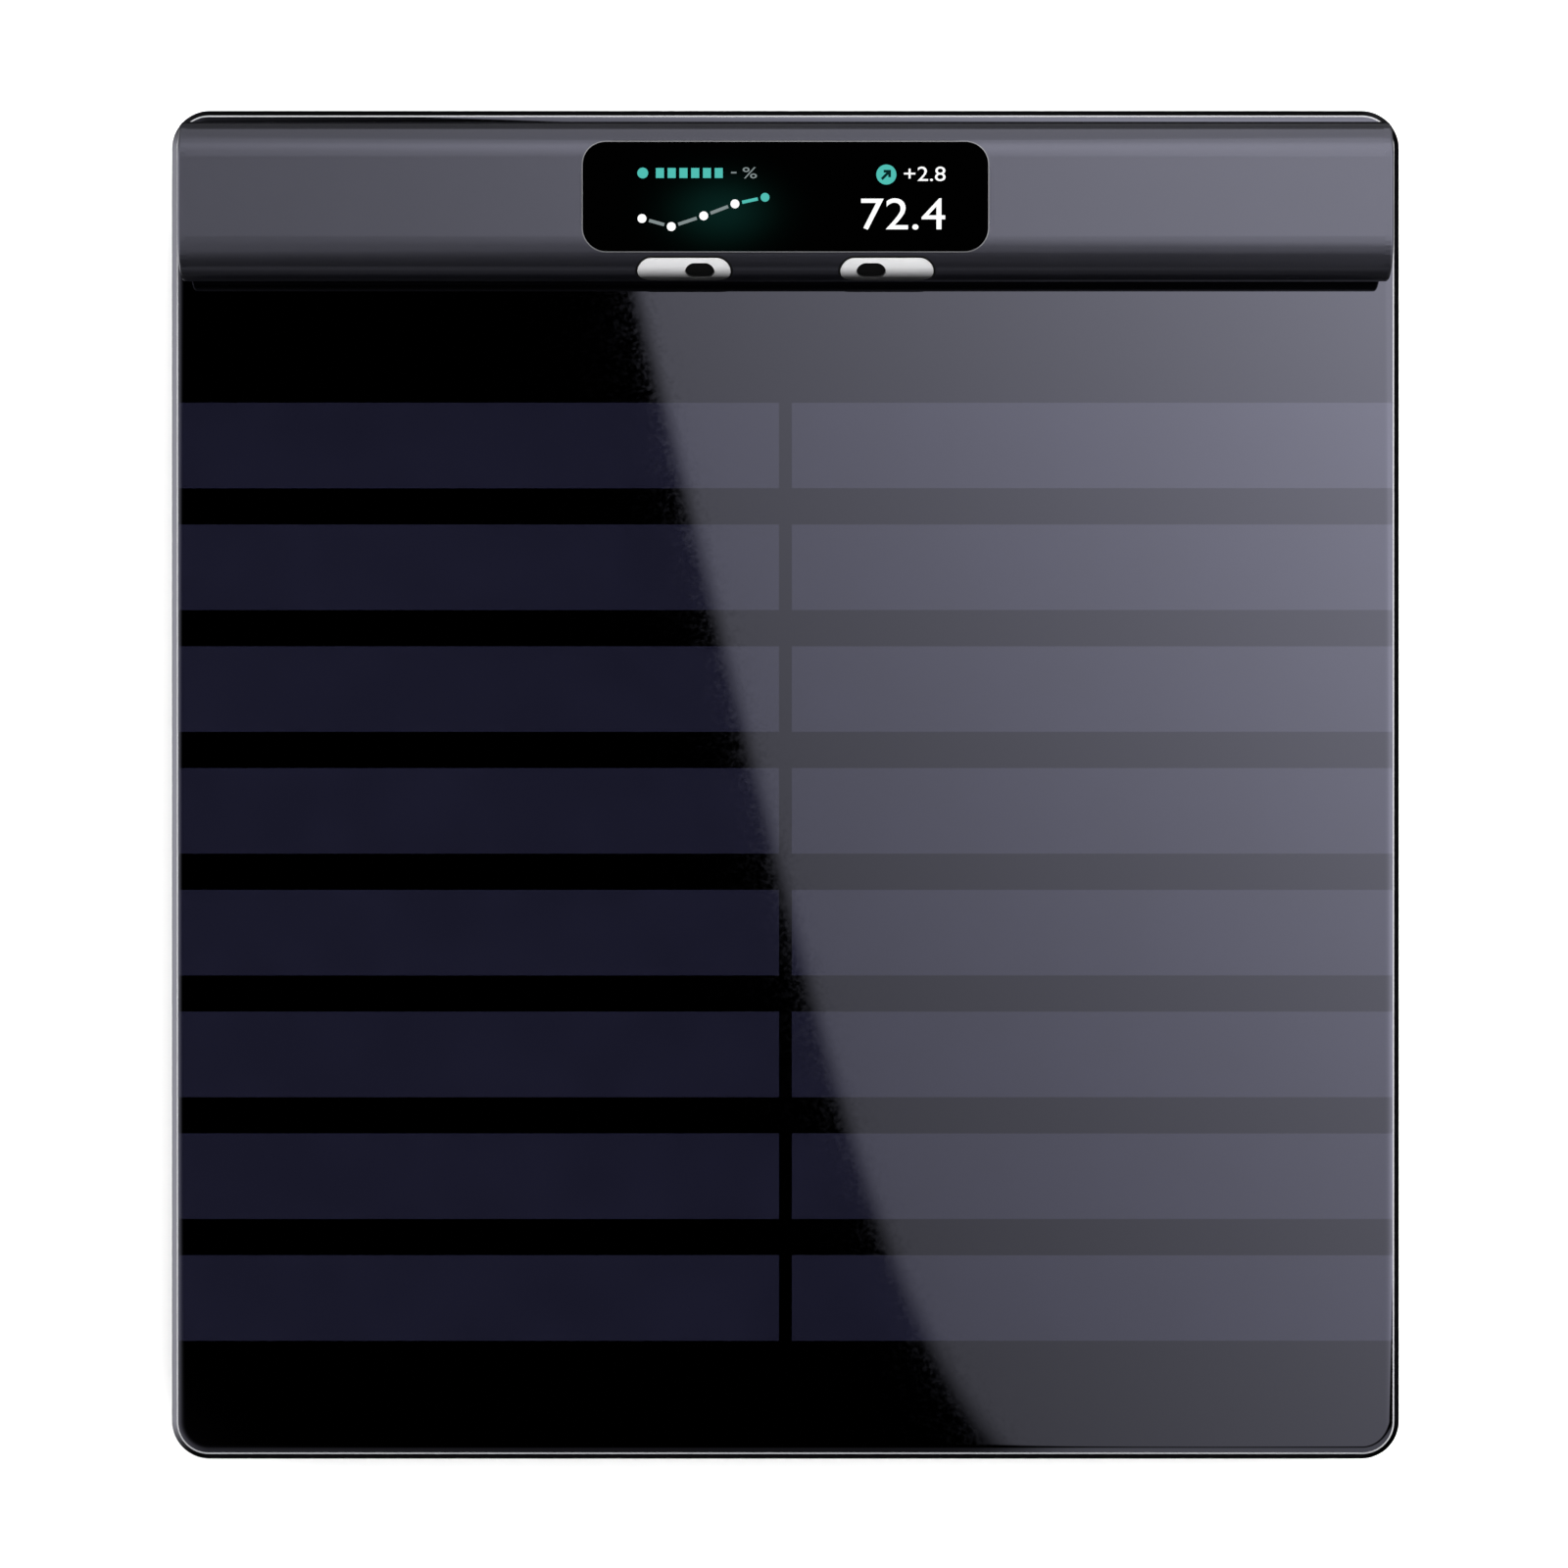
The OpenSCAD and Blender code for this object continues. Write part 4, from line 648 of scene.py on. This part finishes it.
def flat_shape(name, outlines, finish, raised=False):
    """Closed thin plates on the lens, one for each outline of (x, y) points round the handle's
    middle. Raised plates are half as thick and lie on the others."""
    low = READOUT_Z + (READOUT_T if raised else 0)
    high = low + (READOUT_T / 2 if raised else READOUT_T)
    points, faces = [], []
    for outline in outlines:
        n, first = len(outline), len(points)
        for z in (low, high):
            points += [(x, HANDLE_Y + y, z) for x, y in outline]
        wall = grid_faces(2, n, close_columns=True) + first
        faces += wall.tolist()
        faces.append([first + i for i in range(n)][::-1])
        faces.append([first + n + i for i in range(n)])
    return add_piece(name, points, faces, finish, "handle")


def disc(x, y, r):
    """Outline of a disc: x + r cos t, y + r sin t."""
    turn = np.linspace(0, 2 * math.pi, 48, endpoint=False)
    return [(x + r * math.cos(t), y + r * math.sin(t)) for t in turn]


def stroke(a, b, width):
    """Outline of a straight stroke of a width from a to b."""
    a, b = np.array(a), np.array(b)
    side = np.array([a[1] - b[1], b[0] - a[0]]) / np.linalg.norm(b - a) * width / 2
    return [a - side, b - side, b + side, a + side]


def figures(name, text, box, finish):
    """Plain figures as a thin closed mesh that fills a box, given in millimetres from the
    handle's middle: its left edge, its foot, its width and its height."""
    curve = bpy.data.curves.new(name, "FONT")
    curve.body = text
    curve.extrude = READOUT_T / 2
    curve.resolution_u = 6
    shape = bpy.data.objects.new(name, curve)
    bpy.context.scene.collection.objects.link(shape)
    bpy.context.view_layer.update()
    solid = shape.evaluated_get(bpy.context.evaluated_depsgraph_get())
    mesh = bpy.data.meshes.new_from_object(solid)
    bpy.data.objects.remove(shape)
    points = np.array([v.co for v in mesh.vertices])
    faces = [list(p.vertices) for p in mesh.polygons]
    bpy.data.meshes.remove(mesh)
    lo, hi = points.min(axis=0), points.max(axis=0)
    corner, size = np.array(box[:2]) * MM + [0, HANDLE_Y], np.array(box[2:]) * MM
    points[:, :2] = (points[:, :2] - lo[:2]) / (hi[:2] - lo[:2]) * size + corner
    points[:, 2] += READOUT_Z + READOUT_T / 2
    return add_piece(name, points, faces, finish, "handle")


def trend_line(inks):
    """Four white dots and a teal one, joined by strokes that stop short of them."""
    dots = np.array([(-37.2, -5.8), (-29.6, -7.9), (-21.2, -5.1), (-13.1, -2.0), (-5.3, -0.3)])
    dots = dots * MM
    dot_r, gap, link_w = 1.15 * MM, 1.9 * MM, 0.85 * MM
    links = []
    for a, b in zip(dots, dots[1:]):
        way = (b - a) / np.linalg.norm(b - a)
        links.append(stroke(a + way * gap, b - way * gap, link_w))
    flat_shape("trend_dots", [disc(*d, dot_r) for d in dots[:-1]], inks["white"])
    flat_shape("trend_last", [disc(*dots[-1], dot_r), links[-1]], inks["teal"])
    flat_shape("trend_links", links[:-1], inks["grey"])


def title_row(inks):
    """A disc and six plain blocks where a title goes, a dash and a per cent sign."""
    y, block_w, block_h, pitch = 6.0 * MM, 2.1 * MM, 2.6 * MM, 3.05 * MM
    starts = -33.6 * MM + pitch * np.arange(6)
    blocks = [stroke((x, y), (x + block_w, y), block_h) for x in starts]
    flat_shape("title_bar", blocks + [disc(-37.0 * MM, y, 1.4 * MM)], inks["teal"])
    dash = stroke((-14.1 * MM, 6.1 * MM), (-12.7 * MM, 6.1 * MM), 0.4 * MM)
    flat_shape("title_dash", [dash], inks["grey"])
    figures("percent_mark", "%", (-11.1, 4.6, 3.7, 2.9), inks["grey"])


def change_badge(inks):
    """A round badge with an arrow that points up to the right: a shaft and the two bars of its
    head, which meet at the tip."""
    badge, reach = np.array([26.15, 5.6]) * MM, 1.2 * MM
    flat_shape("badge", [disc(*badge, 2.6 * MM)], inks["teal"])
    tip, bar, head = badge + reach, 0.7 * MM, 1.9 * MM
    arrow = [
        stroke(badge - reach, tip - 0.3 * MM, bar),
        stroke(tip - [head, bar / 2], tip - [0, bar / 2], bar),
        stroke(tip - [bar / 2, head], tip - [bar / 2, bar], bar),
    ]
    flat_shape("badge_arrow", arrow, inks["dark"], raised=True)


def readout():
    """A trend line under its title row, and the value under its change, in plain figures."""
    inks = {
        "teal": lit_ink("ink_teal", (0.073, 0.46, 0.4)),
        "white": lit_ink("ink_white", (1.0, 1.0, 1.0)),
        "grey": lit_ink("ink_grey", (0.2, 0.24, 0.24)),
        "dark": lit_ink("ink_dark", (0.002, 0.02, 0.018)),
    }
    trend_line(inks)
    title_row(inks)
    change_badge(inks)
    figures("change_value", "+2.8", (30.7, 3.9, 10.8, 3.75), inks["white"])
    figures("main_value", "72.4", (19.6, -8.7, 21.8, 8.15), inks["white"])


lens()
readout()


# ---- Floor, lights and camera ----

# The camera looks straight down from this height over the glass, a little off its middle, and
# the whole frame is this wide at the glass
CAMERA_HEIGHT = 0.9
CAMERA_X, CAMERA_Y = -0.38 * MM, 0.2 * MM
VIEW_WIDTH = 0.4146
SENSOR_WIDTH = 36

# The overhead softbox, given by its mirror image in the glass: middle, half sizes and turn
CARD_HEIGHT = 3.0
CARD_MIDDLE = np.array([0.142, 0.103])
CARD_LEFT, CARD_RIGHT = 0.172, 0.75
CARD_NEAR, CARD_FAR = 0.296, 0.62
CARD_TURN = 0.242
CARD_POWER = 5.0
# Its brightness at the glass's middle, how steeply that grows with x and y, its limit, and the
# share of the half size over which the rim fades
CARD_GLOW = 1.75
CARD_SLOPES = (4.7, 3.17)
CARD_LIMIT = 6.2
CARD_SOFT = 0.035
MIRROR_SCALE = 1 + CARD_HEIGHT / CAMERA_HEIGHT

# The dome's radius. The floor ends inside it, where its light ends, and the wall stands outside
DOME_R = 5.0
FLOOR_RINGS = (0.5, 2, 4.85)
WALL_R, WALL_LOW, WALL_HIGH = 5.1, -2, 8
CIRCLE_STEPS = 64


def stage_sheet(name, points, faces, material):
    """A sheet that belongs to the studio and not to the object."""
    mesh = bpy.data.meshes.new(name)
    mesh.from_pydata(points.tolist(), [], [list(map(int, f)) for f in faces])
    mesh.materials.append(material)
    sheet = bpy.data.objects.new(name, mesh)
    bpy.context.scene.collection.objects.link(sheet)
    return sheet


def stage_light(name, points, faces, strength_nodes):
    """A glowing sheet that lights the object but isn't seen by the camera."""
    material = bpy.data.materials.new(name)
    material.use_nodes = True
    tree = material.node_tree
    tree.nodes.clear()
    out = tree.nodes.new("ShaderNodeOutputMaterial")
    glow = tree.nodes.new("ShaderNodeEmission")
    tree.links.new(glow.outputs["Emission"], out.inputs["Surface"])
    strength_nodes(tree, glow.inputs["Strength"])
    sheet = stage_sheet(name, points, faces, material)
    sheet.visible_camera = False
    return sheet


def point_values(sheet, name, values):
    """A number for every point of a sheet, which its material reads as an attribute."""
    attribute = sheet.data.attributes.new(name, "FLOAT", "POINT")
    attribute.data.foreach_set("value", np.ravel(values).astype(np.float32))


def attribute_node(tree, name):
    """The output that reads a sheet's point values."""
    node = tree.nodes.new("ShaderNodeAttribute")
    node.attribute_name = name
    return node.outputs["Fac"]


def circles(rings):
    """Points and faces of circles about the upright axis, one for each (r, z): r cos a, r sin a,
    z."""
    a = np.linspace(0, 2 * math.pi, CIRCLE_STEPS, endpoint=False)
    rows = [np.column_stack([r * np.cos(a), r * np.sin(a), z + 0 * a]) for r, z in rings]
    return np.concatenate(rows), grid_faces(len(rings), CIRCLE_STEPS, close_columns=True).tolist()


def smooth(share):
    """Share from 0 to 1 with a soft start and end: 3 s^2 - 2 s^3."""
    return share * share * (3 - 2 * share)


def band(value, start, end, soft):
    """1 between start and end, falling smoothly to 0 over a soft distance outside them."""
    return smooth(np.clip((np.minimum(value - start, end - value) + soft) / soft, 0, 1))


def overhead_card():
    """Softbox whose outline is a superellipse, |u/a|^n + |v/b|^n = 1, with its own half size on
    each side. Rings run from the middle to the rim, and the last ones carry the soft edge. It
    glows with exp(slopes . place in the mirror image), up to a limit."""
    around = np.linspace(0, 2 * math.pi, 256, endpoint=False)
    inner, outer = np.linspace(0.04, 1 - CARD_SOFT, 24), np.linspace(1 - CARD_SOFT, 1, 7)
    shares = np.concatenate([inner, outer[1:]])
    cu, su = np.cos(around), np.sin(around)
    a = np.where(cu < 0, CARD_LEFT, CARD_RIGHT)
    b = np.where(su < 0, CARD_NEAR, CARD_FAR)
    radius = (np.abs(cu / a) ** CARD_POWER + np.abs(su / b) ** CARD_POWER) ** (-1 / CARD_POWER)
    u, v = radius * cu, radius * su
    c, s = math.cos(CARD_TURN), math.sin(CARD_TURN)
    x, y = c * u - s * v, s * u + c * v
    rings = shares[:, None]
    points = np.stack([
        (CARD_MIDDLE[0] + rings * x) * MIRROR_SCALE,
        (CARD_MIDDLE[1] + rings * y) * MIRROR_SCALE,
        np.full((len(shares), len(around)), GLASS_TOP + CARD_HEIGHT),
    ], axis=2).reshape(-1, 3)
    faces = grid_faces(len(shares), len(around), close_columns=True).tolist()
    faces.append(list(range(len(around))))

    def strength(tree, socket):
        axes = object_axes(tree)
        slope_x, slope_y = (slope / MIRROR_SCALE for slope in CARD_SLOPES)
        rise = math_node(tree, "ADD", math_node(tree, "MULTIPLY", axes["X"], slope_x),
                         math_node(tree, "MULTIPLY", axes["Y"], slope_y))
        bright = math_node(tree, "MULTIPLY", math_node(tree, "EXPONENT", rise), CARD_GLOW)
        bright = math_node(tree, "MINIMUM", bright, CARD_LIMIT)
        tree.links.new(math_node(tree, "MULTIPLY", bright, attribute_node(tree, "rim")), socket)

    card = stage_light("overhead_card", points, faces, strength)
    fade = smooth(np.clip((1 - shares) / CARD_SOFT, 0, 1))
    point_values(card, "rim", np.repeat(fade, len(around)))


def studio_dome():
    """Glow all round the object, on a sphere of radius R: points R cos e cos a, R cos e sin a,
    R sin e, at elevation e and azimuth a. Each side is weighted by the square of the azimuth's
    cosine towards it, and has bands and humps, exp(-((e - middle) / width)^2), of elevation."""
    around = np.linspace(0, 2 * math.pi, 128, endpoint=False)[None, :]
    lowest, highest, steps = -35, 78, 226
    height = np.linspace(lowest, highest, steps + 1)[:, None]
    tilt = np.radians(height)
    right, left = np.maximum(np.cos(around), 0) ** 2, np.maximum(-np.cos(around), 0) ** 2
    back, front = np.maximum(np.sin(around), 0) ** 2, np.maximum(-np.sin(around), 0) ** 2
    straight_left = left ** 4
    # The back is brighter on the right than on the left
    back = back * (0.35 + 0.65 * band(np.cos(around), 0.02, 2, 0.16))
    all_round = np.ones_like(around)
    # Side, strength, lowest and highest elevation and soft edge in degrees
    bands = [
        (all_round, 0.12, 0, 16, 8),
        (right, 4, 26, 44, 5),
        (back, 4.4, 34, 46, 5),
        (back, 2.8, 1, 32, 4),
        (back, 0.35, lowest, -8, 4),
        (left, 2.2, 44, 60, 14),
        (straight_left, 5, lowest, 10, 8),
        (right + left, 0.8, lowest, -18, 6),
    ]
    # Side, strength, middle and width in degrees
    humps = [(front, 0.4, 12, 8), (straight_left, 9.5, 40, 6)]
    glow = sum(side * power * band(height, *span) for side, power, *span in bands)
    for side, power, middle, width in humps:
        glow = glow + side * power * np.exp(-((height - middle) / width) ** 2)
    # A strip high across the front, which the bar's front curve mirrors. Its place is given by
    # how far the way to it leans from upright, as tangents towards x and y; the least angle keeps
    # them finite. It is brighter on the right
    least = 0.2
    steep = np.tan(np.maximum(tilt, least))
    lean_x, lean_y = np.cos(around) / steep, np.sin(around) / steep
    strip = 0.2 + 1.6 * band(lean_x, 0.11, 9, 0.04)
    glow = glow + strip * band(-lean_y, 0.32, 0.55, 0.05) * band(lean_x, -0.4, 1.5, 0.3)
    points = DOME_R * np.stack([
        np.cos(tilt) * np.cos(around),
        np.cos(tilt) * np.sin(around),
        np.sin(tilt) * all_round,
    ], axis=2).reshape(-1, 3)

    def strength(tree, socket):
        tree.links.new(attribute_node(tree, "glow"), socket)

    faces = grid_faces(*glow.shape, close_columns=True)
    dome = stage_light("studio_dome", points, faces, strength)
    point_values(dome, "glow", glow)


def studio_world():
    """Black surroundings: all the light comes from the softbox and the dome."""
    world = bpy.data.worlds.new("studio")
    bpy.context.scene.world = world
    world.use_nodes = True
    world.node_tree.nodes["Background"].inputs["Color"].default_value = (0, 0, 0, 1)


def floor():
    """Plain pale floor, a flat disc of rings; mirrors don't see it, so dark edges stay dark."""
    colour = (0.9, 0.9, 0.9)
    material, tree, shader = new_finish("floor_white", colour, 0.9)
    vary_colour(tree, shader, noise(tree, 2), (0.89, 0.89, 0.89), colour)
    points, faces = circles([(r, 0) for r in FLOOR_RINGS])
    faces.append(list(range(CIRCLE_STEPS)))
    sheet = stage_sheet("floor", points, faces, material)
    sheet.visible_glossy = False


def backdrop():
    """White wall round the stage, seen by the camera alone."""
    def strength(tree, socket):
        socket.default_value = 1.0

    points, faces = circles([(WALL_R, WALL_LOW), (WALL_R, WALL_HIGH)])
    wall = stage_light("backdrop", points, faces, strength)
    wall.visible_camera = True
    wall.visible_diffuse = wall.visible_glossy = False
    wall.visible_transmission = wall.visible_shadow = False


def camera():
    """Straight above the glass, as high as CAMERA_HEIGHT; the lens takes in VIEW_WIDTH."""
    data = bpy.data.cameras.new("camera")
    data.sensor_width = SENSOR_WIDTH
    data.lens = SENSOR_WIDTH * CAMERA_HEIGHT / VIEW_WIDTH
    eye = bpy.data.objects.new("camera", data)
    bpy.context.scene.collection.objects.link(eye)
    eye.location = (CAMERA_X, CAMERA_Y, GLASS_TOP + CAMERA_HEIGHT)
    bpy.context.scene.camera = eye


overhead_card()
studio_dome()
studio_world()
floor()
backdrop()
camera()
bpy.context.scene.view_settings.view_transform = "Standard"
